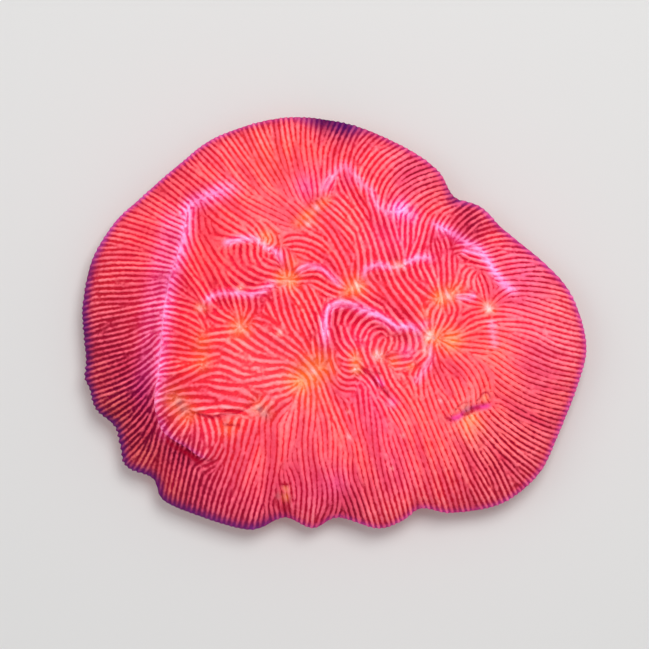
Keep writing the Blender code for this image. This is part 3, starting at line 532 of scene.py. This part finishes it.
def fade(x, y, line):
    """How far each point lies beside the middle of the line and not past its ends, from 0 to 1."""
    passed = np.concatenate([[0], np.cumsum(np.hypot(*np.diff(line, axis=0).T))])
    beyond = np.arange(1, FADE_STEPS + 1)[:, None]
    before = line[0] + beyond * (line[0] - line[1])
    after = line[-1] + beyond * (line[-1] - line[-2])
    places = np.concatenate([before, line, after])
    kept = np.concatenate([np.zeros(FADE_STEPS), taper(passed / passed[-1]), np.zeros(FADE_STEPS)])
    total = np.zeros(x.shape)
    weights = np.zeros(x.shape)
    for (px, py), share in zip(places, kept):
        weight = 1 / ((x - px) ** 2 + (y - py) ** 2 + FADE_SOFTNESS) ** 2
        total += weight * share
        weights += weight
    return total / weights


def ridge_direction(x, y):
    """Direction of the ridges as a complex number at twice its angle, so that both ways count the same."""
    total = np.zeros(x.shape, complex)
    for ridge in TRACED_RIDGES:
        line = traced(ridge)
        heading = np.gradient(line, axis=0)
        doubled = np.exp(2j * np.arctan2(heading[:, 1], heading[:, 0]))
        for (px, py), turn in zip(line, doubled):
            total += turn / ((x - px) ** 2 + (y - py) ** 2 + TRACE_SOFTNESS) ** 2
    total /= np.abs(total)
    for start, end, strength in CUPS:
        distance, _, offset_x, offset_y, _ = nearest(x, y, np.array([start, end]))
        pull = bell(distance, MOUTH_PULL * strength)
        total = total * (1 - pull) + pull * np.exp(2j * np.arctan2(offset_y, offset_x))
    return total


def direction_on(xs, ys):
    """Direction of the ridges on the grid, worked out on a coarser one, because it changes slowly."""
    coarse_x = xs[::DIRECTION_STEP]
    coarse_y = ys[::DIRECTION_STEP]
    coarse = ridge_direction(*np.meshgrid(coarse_x, coarse_y))
    along_x = np.array([np.interp(xs, coarse_x, row) for row in coarse])
    return np.array([np.interp(ys, coarse_y, column) for column in along_x.T]).T


def grid_places():
    """Place of each point of the ridge grid."""
    xs = np.arange(-HALF_SIDES[0], HALF_SIDES[0], RIDGE_GRID)
    ys = np.arange(-HALF_SIDES[1], HALF_SIDES[1], RIDGE_GRID)
    return np.meshgrid(xs, ys)


def waves_of(field):
    """Wave numbers along x and y in the spectrum of a field on the ridge grid."""
    rows, columns = field.shape
    return np.meshgrid(np.fft.rfftfreq(columns, RIDGE_GRID), np.fft.fftfreq(rows, RIDGE_GRID))


def blurred(field, reach):
    """The field averaged softly over a reach."""
    wave_x, wave_y = waves_of(field)
    kept = np.exp(-2 * (np.pi * reach) ** 2 * (wave_x**2 + wave_y**2))
    return np.fft.irfft2(np.fft.rfft2(field) * kept, field.shape)


def filter_shape(across, along, half_across, half_along):
    """Share of each wave that a filter keeps, by how far off the wanted wave it is."""
    return np.exp(-((across / half_across) ** 2) / 2 - (along / half_along) ** 2 / 2)


def grow_ridges():
    """Ridges from -1 in a valley to 1 on a crest, and streaks that make them uneven, on the ridge grid.

    Both grow from noise, which is filtered again and again along the direction of the ridges.
    """
    rng = np.random.default_rng(RIDGE_SEED)
    x, y = grid_places()
    pitch = np.log(1 + spots(x, y, WIDER_AT))
    levels = np.log(RIDGE_PITCHES)
    wave_x, wave_y = waves_of(x)
    wander = blurred(rng.standard_normal(x.shape), WANDER_REACH)
    inside = np.exp(-(((x / MIDDLE_SIDES[0]) ** 2 + (y / MIDDLE_SIDES[1]) ** 2) ** 2))
    amount = between(WANDER, inside)
    angle = (np.angle(direction_on(x[0], y[:, 0])) / 2 + amount * wander / wander.std()) % np.pi

    ridge_filters = []
    streak_filters = []
    for k in range(RIDGE_DIRECTIONS):
        turn = k * np.pi / RIDGE_DIRECTIONS
        along = wave_x * np.cos(turn) + wave_y * np.sin(turn)
        across = np.abs(wave_y * np.cos(turn) - wave_x * np.sin(turn))
        off = np.abs((angle - turn + np.pi / 2) % np.pi - np.pi / 2)
        near_turn = np.clip(1 - off * RIDGE_DIRECTIONS / np.pi, 0, 1)
        streak = filter_shape(across * RIDGE_PITCH, along * RIDGE_PITCH, *STREAK_FILTER)
        streak_filters.append((near_turn, streak))
        for level in levels:
            near_level = np.clip(1 - np.abs(pitch - level) / (levels[1] - levels[0]), 0, 1)
            weight = near_turn * near_level
            if weight.max() > 0:
                wave = 1 / (RIDGE_PITCH * np.exp(level))
                shape = filter_shape(across - wave, along, *(share * wave for share in RIDGE_FILTER))
                ridge_filters.append((weight, shape))

    def filtered(field, filters):
        waves = np.fft.rfft2(field)
        return sum(weight * np.fft.irfft2(waves * shape, x.shape) for weight, shape in filters)

    ridges = rng.standard_normal(x.shape)
    for _ in range(RIDGE_TURNS):
        total = filtered(ridges, ridge_filters)
        strength = blurred(total**2, EVEN_REACH * RIDGE_PITCH)
        even = total / np.sqrt(np.maximum(strength, TINY))
        ridges = np.tanh(SHARPEN * even)
    rough = blurred(rng.standard_normal(x.shape), ROUGH_REACH)
    ridges = np.clip(even / np.sqrt(2) + ROUGH_RIDGES * rough / rough.std(), -1, 1)
    streaks = rng.standard_normal(x.shape)
    for _ in range(STREAK_TURNS):
        streaks = filtered(streaks, streak_filters)
    return ridges, streaks / streaks.std()


def sample(field, x, y):
    """Value of a field on the ridge grid at each point."""
    fx = np.clip((x + HALF_SIDES[0]) / RIDGE_GRID, 0, field.shape[1] - LAST_CELL)
    fy = np.clip((y + HALF_SIDES[1]) / RIDGE_GRID, 0, field.shape[0] - LAST_CELL)
    ix, iy = fx.astype(int), fy.astype(int)
    tx, ty = fx - ix, fy - iy
    low = field[iy, ix] * (1 - tx) + field[iy, ix + 1] * tx
    high = field[iy + 1, ix] * (1 - tx) + field[iy + 1, ix + 1] * tx
    return low * (1 - ty) + high * ty


def swells(x, y):
    """Slow unevenness of the whole plate."""
    rng = np.random.default_rng(SWELL_SEED)
    total = np.zeros(x.shape)
    for _ in range(SWELL_COUNT):
        turn = rng.uniform(0, np.pi)
        wave = rng.uniform(*SWELL_WAVES)
        start = rng.uniform(0, 2 * np.pi)
        total += np.sin(2 * np.pi * (x * np.cos(turn) + y * np.sin(turn)) / wave + start)
    return SWELL * total


def body_height(x, y):
    """Height of the top without its ridges: dome, walls, steps, grooves and cups."""
    depth = sample(edge_distance(), x, y)
    rise = DOME + DOME_TILT[0] * x + DOME_TILT[1] * y
    z = RIM_TOP + rise * (1 - np.exp(-depth / DOME_REACH)) + swells(x, y)
    z -= RIM_ROLL * bell(depth, RIM_ROLL_REACH)
    z += GROWTH_BAND * spots(x, y, GROWTH_BAND_PLACES) * bell(depth - GROWTH_BAND_DEPTH, GROWTH_BAND_WIDTH)
    for fold, height, half_width, line_height in WALLS:
        distance, share, *_ = nearest(x, y, traced(FOLDS[fold]))
        line = line_height * bell(distance, CREST_LINE_WIDTH)
        z += taper(share) * (height * bell(distance, half_width) + line)
    for height, reach, _, points in STEPS:
        line = curve_through(points)
        distance, _, _, _, left = nearest(x, y, line)
        raised = smooth(distance / STEP_RISE) * bell(distance, reach)
        z += height * fade(x, y, line) * np.where(left, raised, 0)
    for deep, half_width, points in GROOVES:
        distance, share, *_ = nearest(x, y, curve_through(points))
        z -= deep * taper(share) * bell(distance, half_width)
    for start, end, strength in CUPS:
        distance = nearest(x, y, np.array([start, end]))[0]
        z -= MOUTH_DEPTH * strength * bell(distance, MOUTH_WIDTH)
    return z


@functools.cache
def edge_distance():
    """Distance from each point of the ridge grid to the outline."""
    return nearest(*grid_places(), curve_through(OUTLINE, closed=True))[0]


@functools.cache
def body():
    """Height of the body on the ridge grid."""
    return body_height(*grid_places())


def overhang(x, y):
    """How far the raised side of each step leans out over the low side."""
    shift_x = np.zeros(x.shape)
    shift_y = np.zeros(x.shape)
    for _, _, lean, points in STEPS:
        line = curve_through(points)
        distance, _, offset_x, offset_y, left = nearest(x, y, line)
        raised = smooth(distance / STEP_RISE) * np.exp(-distance / OVERHANG_REACH)
        amount = lean * fade(x, y, line) * np.where(left, raised, 0)
        shift_x -= amount * offset_x / np.maximum(distance, TINY)
        shift_y -= amount * offset_y / np.maximum(distance, TINY)
    return shift_x, shift_y


def disc_grid():
    """A square grid drawn onto the unit disc in rings, as the angle and radius of each point."""
    steps = np.arange(-TOP_RINGS, TOP_RINGS + 1) / TOP_RINGS
    a, b = np.meshgrid(steps, steps)
    wide = np.abs(a) > np.abs(b)
    radius = np.where(wide, a, b)
    safe = np.where(radius == 0, 1, radius)
    angle = np.where(wide, np.pi / 4 * b / safe, np.pi / 2 - np.pi / 4 * a / safe)
    return np.where(radius < 0, angle + np.pi, angle), np.abs(radius)


def outline_radius(angle):
    """Distance from the middle to the outline in each direction."""
    line = curve_through(OUTLINE, closed=True)[:-1]
    turns = np.arctan2(line[:, 1], line[:, 0])
    order = np.argsort(turns)
    return np.interp(angle, turns[order], np.hypot(*line[order].T), period=2 * np.pi)


def foot_radius(angle):
    """Distance from the middle to the edge of the foot in each direction."""
    return FOOT_RADIUS + sum(size * np.sin(count * angle + start) for count, size, start in FOOT_LOBES)


def broadness(x, y):
    """How broad the light crests are: 0 where they are narrow and 1 where they are broad."""
    return np.clip(spots(x, y, BROAD_PLACES), 0, 1)


def ridge_height(ridges, streaks, x, y):
    """Height of the ridges over the body, narrower on their crests than in their valleys, and uneven."""
    crest = (sample(ridges, x, y) + 1) / 2
    profile = between(RIDGE_PROFILES, broadness(x, y))
    taller = 1 + TALLER_AT_FOLDS * along_folds(x, y, [(fold, TALLER_REACH, 1.0) for fold, *_ in WALLS])
    return RIDGE_HEIGHT * taller * (crest**profile * (1 + UNEVEN_RIDGES * sample(streaks, x, y)) - 0.5)


def top_points(ridges, streaks):
    """Points of the top, ring by ring out to the edge, and their places before the steps lean out."""
    angle, share = disc_grid()
    full = outline_radius(angle)
    mean = full.mean()
    radius = share * (mean + (full - mean) * share**2)
    x, y = radius * np.cos(angle), radius * np.sin(angle)
    height = ridge_height(ridges, streaks, x, y)
    shift_x, shift_y = overhang(x, y)
    teeth = SCALLOP + spots(x, y, SCALLOP_PLACES)
    fringe = 1 + teeth * height / RIDGE_HEIGHT * share**SCALLOP_POWER / np.maximum(radius, 1)
    points = np.stack([x * fringe + shift_x, y * fringe + shift_y, sample(body(), x, y) + height], axis=-1)
    return points, np.stack([x, y], axis=-1)


def border(count):
    """Indices of the border of a square grid with that many points on a side, in order."""
    last = count - 1
    low = [(0, i) for i in range(last)]
    right = [(i, last) for i in range(last)]
    high = [(last, last - i) for i in range(last)]
    left = [(last - i, 0) for i in range(last)]
    return np.array(low + right + high + left).T


def lower_rings(rim, height):
    """Rings of points from the edge down and in to the foot; height is that of the ridges at the edge."""
    angle = np.arctan2(rim[:, 1], rim[:, 0])
    radius = np.hypot(rim[:, 0], rim[:, 1])
    top = rim[:, 2] - height
    rings = []
    for out, drop, kept in EDGE_RINGS:
        rings.append((radius + out, top - drop + kept * height))
    foot = foot_radius(angle)
    edge = radius + EDGE_RINGS[-1][0]
    for step in range(1, UNDERSIDE_RINGS + 1):
        inward = step / UNDERSIDE_RINGS
        fall = (top - EDGE_THICKNESS) * (1 - inward**2)
        line = GROWTH_LINE * np.sin(2 * np.pi * GROWTH_LINES * inward) + RIB_HEIGHT * height / RIDGE_HEIGHT
        kept = smooth(LINES_FADE[0] * inward) * smooth(LINES_FADE[1] * (1 - inward))
        rings.append((edge + (foot - edge) * inward, fall + line * kept))
    return [np.stack([r * np.cos(angle), r * np.sin(angle), z], axis=-1) for r, z in rings]


def colony_mesh():
    """One closed mesh of the colony, thinned to TRIANGLES, with the masks of its colours on its points."""
    ridges, streaks = grow_ridges()
    top, plan = top_points(ridges, streaks)
    count = top.shape[0]
    around = tuple(border(count))
    index = np.arange(count * count).reshape(count, count)
    ring = index[around]
    corners = [index[:-1, :-1], index[:-1, 1:], index[1:, 1:], index[1:, :-1]]
    faces = np.stack(corners, axis=-1).reshape(-1, 4).tolist()
    points = [top.reshape(-1, 3)]
    places = [np.concatenate([plan.reshape(-1, 2), np.zeros((count * count, 1))], axis=1)]
    first = count * count
    edge_height = ridge_height(ridges, streaks, *plan[around].T)
    for step, lower in enumerate(lower_rings(top[around], edge_height)):
        next_ring = np.arange(first, first + len(ring))
        faces += np.stack([ring, next_ring, np.roll(next_ring, -1), np.roll(ring, -1)], axis=-1).tolist()
        points.append(lower)
        places.append(np.concatenate([lower[:, :2], np.full((len(ring), 1), step + 1.0)], axis=1))
        ring = next_ring
        first += len(ring)
    faces.append(ring[::-1].tolist())
    mesh = bpy.data.meshes.new("fine")
    mesh.from_pydata((np.concatenate(points) * MM).tolist(), [], faces)
    attribute = mesh.attributes.new("place", "FLOAT_VECTOR", "POINT")
    attribute.data.foreach_set("vector", np.concatenate(places).ravel())
    mesh = thinned(mesh)
    add_masks(mesh, ridges, streaks)
    mesh.shade_smooth()
    return mesh


def thinned(mesh):
    """The same surface with about TRIANGLES triangles, most of them where it bends most."""
    full = bpy.data.objects.new("full", mesh)
    bpy.context.scene.collection.objects.link(full)
    fewer = full.modifiers.new("Fewer triangles", "DECIMATE")
    fewer.ratio = TRIANGLES / (2 * len(mesh.polygons))
    fewer.use_collapse_triangulate = True
    graph = bpy.context.evaluated_depsgraph_get()
    light = bpy.data.meshes.new_from_object(full.evaluated_get(graph))
    bpy.data.objects.remove(full)
    bpy.data.meshes.remove(mesh)
    return light


def spots(x, y, places):
    """Soft round patches: places are x, y, reach and strength."""
    total = np.zeros(x.shape)
    for cx, cy, reach, strength in places:
        total += strength * np.exp(-((x - cx) ** 2 + (y - cy) ** 2) / reach**2)
    return total


def along_folds(x, y, bands):
    """Soft bands along folds: fold, half-width and strength."""
    total = np.zeros(x.shape)
    for fold, half_width, strength in bands:
        distance, share, *_ = nearest(x, y, traced(FOLDS[fold]))
        total = np.maximum(total, strength * taper(share) * bell(distance, half_width))
    return total


def add_masks(mesh, ridges, streaks):
    """Where each colour lies, as values from 0 to 1 on the mesh's points."""
    place = np.empty(3 * len(mesh.vertices))
    mesh.attributes["place"].data.foreach_get("vector", place)
    x, y, step = place.reshape(-1, 3).T
    depth = sample(edge_distance(), x, y)
    mouths = np.zeros(x.shape)
    for (start, end, _), (reach, strength) in zip(CUPS, CUP_GLOWS):
        distance = nearest(x, y, np.array([start, end]))[0]
        mouths = np.maximum(mouths, strength * bell(distance, reach))
    angle = np.degrees(np.arctan2(y, x))
    turns, *rim = zip(*RIM)
    width, strength, light = (np.interp(angle, turns, values, period=360) for values in rim)
    patches = {name: spots(x, y, places) for name, places in PATCHES.items()}
    bands = {name: along_folds(x, y, lines) for name, lines in BANDS.items()}
    height = sample(ridges, x, y)
    broad = broadness(x, y)
    crest_from = between(CREST_FROM, broad)
    # Painted shade of the deep patches and of the edge, kept off the clear bands
    deep = (patches["deep"] + EDGE_SHADE * np.exp(-depth / EDGE_SHADE_REACH)).clip(0, 1) * (1 - bands["clear"])
    crest = (height - crest_from - SHADE_SHIFT * deep) / (between(CREST_TO, broad) - crest_from)
    relief = sample(body() - blurred(body(), RELIEF_REACH), x, y)
    # Painted highlight on the crests, stronger on raised places
    shine = between(SHINE, np.clip(relief / RAISED_HEIGHT, 0, 1)) * (1 - LESS_SHINE_IF_BROAD * broad)
    lines = along_folds(x, y, [(fold, CREST_LINE_WIDTH, CREST_LINE_SHARE) for fold, *_ in WALLS])
    violet = bands["violet"] * between((VIOLET_IN_VALLEYS, 1), smooth(crest))
    glow = np.clip(np.maximum(mouths, patches["glow"]), 0, 1)
    # Painted shade in the hollows beside folds and steps, kept off the orange cups
    hollow_shade = HOLLOW_SHARE * np.clip(-relief / HOLLOW_DEPTH, 0, 1) * (1 - glow)
    masks = {
        **patches,
        "deep": deep,
        "glow": glow,
        "hollow_shade": hollow_shade,
        "shine": shine * smooth((height - SHINE_FROM) / (1 - SHINE_FROM)),
        # Painted shade in creases, in the slit of the scar and under ledges
        "dark": smooth(SHADE_LINES_FULL * bands["dark"]),
        "scar": bands["scar"],
        "streak": 0.5 + STREAK_SPREAD * sample(streaks, x, y),
        # Violet fades in the painted shade of hollows
        "violet": np.maximum(violet, patches["violet"]) * (1 - VIOLET_LOST_IN_HOLLOWS * hollow_shade),
        "rim": bell(depth, width) * strength,
        "rim_light": light,
        "under": smooth((step - UNDER_FROM) / (UNDER_TO - UNDER_FROM))}
    masks = {name: np.clip(values, 0, 1) for name, values in masks.items()}
    masks["crest"] = np.clip(np.maximum(crest, lines), -1, 2)
    for name, values in masks.items():
        mesh.attributes.new(name, "FLOAT", "POINT").data.foreach_set("value", values)
    mesh.attributes.remove(mesh.attributes["place"])


class Nodes:
    """Short calls for adding and joining the nodes of one material.

    A tuple of three numbers is a colour as on screen, 0 to 255.
    """

    def __init__(self, name):
        self.material = bpy.data.materials.new(name)
        self.material.use_nodes = True
        self.tree = self.material.node_tree
        self.surface = self.tree.nodes["Principled BSDF"]

    def add(self, kind, **settings):
        node = self.tree.nodes.new(kind)
        for key, value in settings.items():
            setattr(node, key, value)
        return node

    def put(self, socket, value):
        if isinstance(value, bpy.types.NodeSocket):
            self.tree.links.new(value, socket)
        else:
            on_screen = isinstance(value, tuple) and len(value) == 3
            socket.default_value = colour(*value) if on_screen else value

    def mask(self, name):
        return self.add("ShaderNodeAttribute", attribute_name=name).outputs["Fac"]

    def mix(self, share, low, high, blend="MIX"):
        node = self.add("ShaderNodeMix", data_type="RGBA", blend_type=blend)
        colours = [socket for socket in node.inputs if socket.type == "RGBA"]
        self.put(node.inputs["Factor"], share)
        self.put(colours[0], low)
        self.put(colours[1], high)
        return next(socket for socket in node.outputs if socket.type == "RGBA")

    def layered(self, base, *layers):
        for share, over in layers:
            base = self.mix(share, base, over)
        return base

    def tinted(self, base, tint):
        return self.mix(1, base, tint, "MULTIPLY")

    def noise(self, scale, detail=3, roughness=0.5):
        node = self.add("ShaderNodeTexNoise")
        coordinates = self.add("ShaderNodeTexCoord")
        self.put(node.inputs["Vector"], coordinates.outputs["Object"])
        for name, number in (("Scale", scale), ("Detail", detail), ("Roughness", roughness)):
            node.inputs[name].default_value = number
        return node.outputs["Fac"]

    def spread(self, value, low, high, to_low=0, to_high=1, how="LINEAR"):
        node = self.add("ShaderNodeMapRange", clamp=True, interpolation_type=how)
        self.put(node.inputs["Value"], value)
        for name, number in (("From Min", low), ("From Max", high), ("To Min", to_low), ("To Max", to_high)):
            node.inputs[name].default_value = number
        return node.outputs["Result"]

    def maths(self, operation, a, b):
        node = self.add("ShaderNodeMath", operation=operation)
        self.put(node.inputs[0], a)
        self.put(node.inputs[1], b)
        return node.outputs[0]


def colour(red, green, blue):
    """A colour given as on screen, 0 to 255, turned into the shader's linear values."""
    values = np.array([red, green, blue]) / 255
    linear = np.where(values <= 0.04045, values / 12.92, ((values + 0.055) / 1.055) ** 2.4)
    return (*linear.tolist(), 1.0)


def tissue_material():
    """Living tissue: dark valleys and light crests, violet walls, orange cups, a purple growing edge, with
    painted shade in hollows, creases and on far slopes, painted highlights on the crests and a painted glow.
    """
    n = Nodes("coral_tissue")
    noise = {name: n.spread(n.noise(*numbers[:2]), *numbers[2:]) for name, numbers in TISSUE_NOISE.items()}
    crest = n.spread(n.maths("ADD", n.mask("crest"), noise["crinkle"]), 0, 1, how="SMOOTHSTEP")
    hollow_shade, streak, deep, cool, light = map(n.mask, ("hollow_shade", "streak", "deep", "cool", "light"))
    valley = n.layered(
        n.mix(noise["drift"], (222, 28, 60), (236, 44, 50)),
        (cool, (226, 34, 88)),
        (light, (236, 66, 80)),
        # Painted shade on the valley floors of the groove patches
        (n.mask("groove"), (160, 14, 44)),
        # Painted shade on the valley floors in hollows
        (hollow_shade, (188, 10, 52)),
        # Painted shade on the valley floors of the far slopes
        (deep, (112, 0, 46)))
    ridge = n.layered(
        n.mix(noise["drift"], (248, 98, 112), (252, 112, 98)),
        (n.spread(streak, *MAGENTA_BY_STREAK), (246, 70, 116)),
        (noise["patch"], (253, 124, 134)),
        (cool, (246, 100, 148)),
        (light, (253, 136, 136)),
        # Painted shade on the ridges in hollows, weaker than in the valleys
        (n.maths("MULTIPLY", hollow_shade, HOLLOW_SHADE_ON_RIDGES), (240, 72, 104)),
        # Painted shade on the ridges of the far slopes
        (deep, (228, 74, 108)),
        # Painted highlight on the crests, dimmer in the painted shade of the far slopes
        (n.mask("shine"), n.mix(deep, (255, 166, 170), (242, 108, 126))),
        (n.mask("warm"), (252, 100, 96)),
        (n.mask("amber"), (228, 110, 100)))
    # Violet is darker in the painted shade of the far slopes
    violet_valley = n.mix(deep, (220, 60, 150), (126, 10, 100))
    violet_crest = n.mix(deep, (253, 170, 222), (190, 66, 146))
    shade = n.layered(
        n.mix(crest, valley, ridge),
        (n.mask("violet"), n.mix(crest, violet_valley, violet_crest)),
        (n.mask("glow"), n.mix(crest, (242, 124, 42), (253, 182, 130))),
        (n.mask("scar"), n.mix(crest, (160, 20, 92), (212, 70, 146))),
        # Painted shade in creases, in the slit of the scar and under ledges, broken up by noise
        (n.maths("MULTIPLY", n.mask("dark"), noise["broken"]), (176, 0, 46)),
        (n.mask("rim"), n.mix(n.mask("rim_light"), (74, 10, 96), (206, 92, 196))),
        (n.mask("bare"), n.mix(crest, (150, 106, 112), (204, 160, 150))),
        # Pale spots at the cups, partly painted highlights
        (n.mask("pale"), n.mix(crest, (250, 190, 170), (255, 240, 232))))
    shade = n.tinted(shade, n.mix(n.spread(streak, *UNEVEN_BY_STREAK), *UNEVEN_TINTS))
    shade = n.tinted(shade, n.mix(noise["speck"], *SPECK_TINTS))
    shade = n.mix(n.mask("under"), shade, n.mix(noise["drift"], (196, 120, 112), (172, 92, 92)))
    bump = n.add("ShaderNodeBump")
    n.put(bump.inputs["Strength"], GRAIN_STRENGTH)
    n.put(bump.inputs["Distance"], GRAIN_DEPTH * MM)
    n.put(bump.inputs["Height"], n.noise(*GRAIN_NOISE))
    looks = {
        "Base Color": shade,
        # Painted glow of the tissue, stronger on the violet walls
        "Emission Color": n.tinted(shade, PAINTED_GLOW_TINT),
        "Emission Strength": n.spread(n.mask("violet"), 0, 1, *PAINTED_GLOW),
        "Roughness": noise["roughness"],
        "Specular IOR Level": SPECULAR,
        "Normal": bump.outputs["Normal"]}
    for name, value in looks.items():
        n.put(n.surface.inputs[name], value)
    return n.material


def floor_material():
    n = Nodes("pale_floor")
    n.put(n.surface.inputs["Base Color"], n.mix(n.noise(FLOOR_NOISE), *FLOOR_GREYS))
    n.put(n.surface.inputs["Roughness"], FLOOR_ROUGHNESS)
    return n.material


def add_colony():
    colony = bpy.data.objects.new("coral_colony_fine", colony_mesh())
    bpy.context.scene.collection.objects.link(colony)
    colony.data.materials.append(tissue_material())
    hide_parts("coral_colony")
    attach(colony, "root")


def add_floor():
    bpy.ops.mesh.primitive_plane_add(size=FLOOR_SIZE)
    floor = bpy.context.object
    floor.name = "floor"
    floor.data.materials.append(floor_material())


def add_lights():
    for name, place, size, power, tint in LIGHTS:
        light = bpy.data.lights.new(name, "AREA")
        light.size = size
        light.energy = power
        light.color = tint
        lamp = bpy.data.objects.new(name, light)
        lamp.location = place
        lamp.rotation_euler = (-lamp.location).to_track_quat("-Z", "Y").to_euler()
        bpy.context.scene.collection.objects.link(lamp)
    world = bpy.data.worlds.new("studio")
    world.use_nodes = True
    background = world.node_tree.nodes["Background"]
    background.inputs["Color"].default_value = (1.0, 1.0, 1.0, 1.0)
    background.inputs["Strength"].default_value = WORLD_STRENGTH
    bpy.context.scene.world = world
    bpy.context.scene.view_settings.view_transform = "Standard"


def add_camera():
    """Straight above the colony, with a long lens: a photograph pixel is PIXEL wide at MIDDLE_HEIGHT."""
    camera = bpy.data.cameras.new("camera")
    camera.lens = LENS
    camera.clip_start = 0.01
    holder = bpy.data.objects.new("camera", camera)
    half = PHOTO_WIDTH / 2
    centre = (half - MIDDLE_PIXEL[0]) * PIXEL * MM, (MIDDLE_PIXEL[1] - half) * PIXEL * MM
    distance = PHOTO_WIDTH * PIXEL * MM * LENS / camera.sensor_width
    holder.location = (*centre, MIDDLE_HEIGHT * MM + distance)
    bpy.context.scene.collection.objects.link(holder)
    bpy.context.scene.camera = holder


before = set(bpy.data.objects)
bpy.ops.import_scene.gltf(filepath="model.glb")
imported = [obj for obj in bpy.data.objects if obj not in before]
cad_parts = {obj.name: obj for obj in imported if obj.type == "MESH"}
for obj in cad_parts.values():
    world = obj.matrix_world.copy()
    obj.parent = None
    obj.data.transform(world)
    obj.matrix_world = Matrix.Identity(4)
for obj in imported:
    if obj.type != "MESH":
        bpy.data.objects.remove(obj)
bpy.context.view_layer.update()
add_colony()
add_floor()
add_lights()
add_camera()
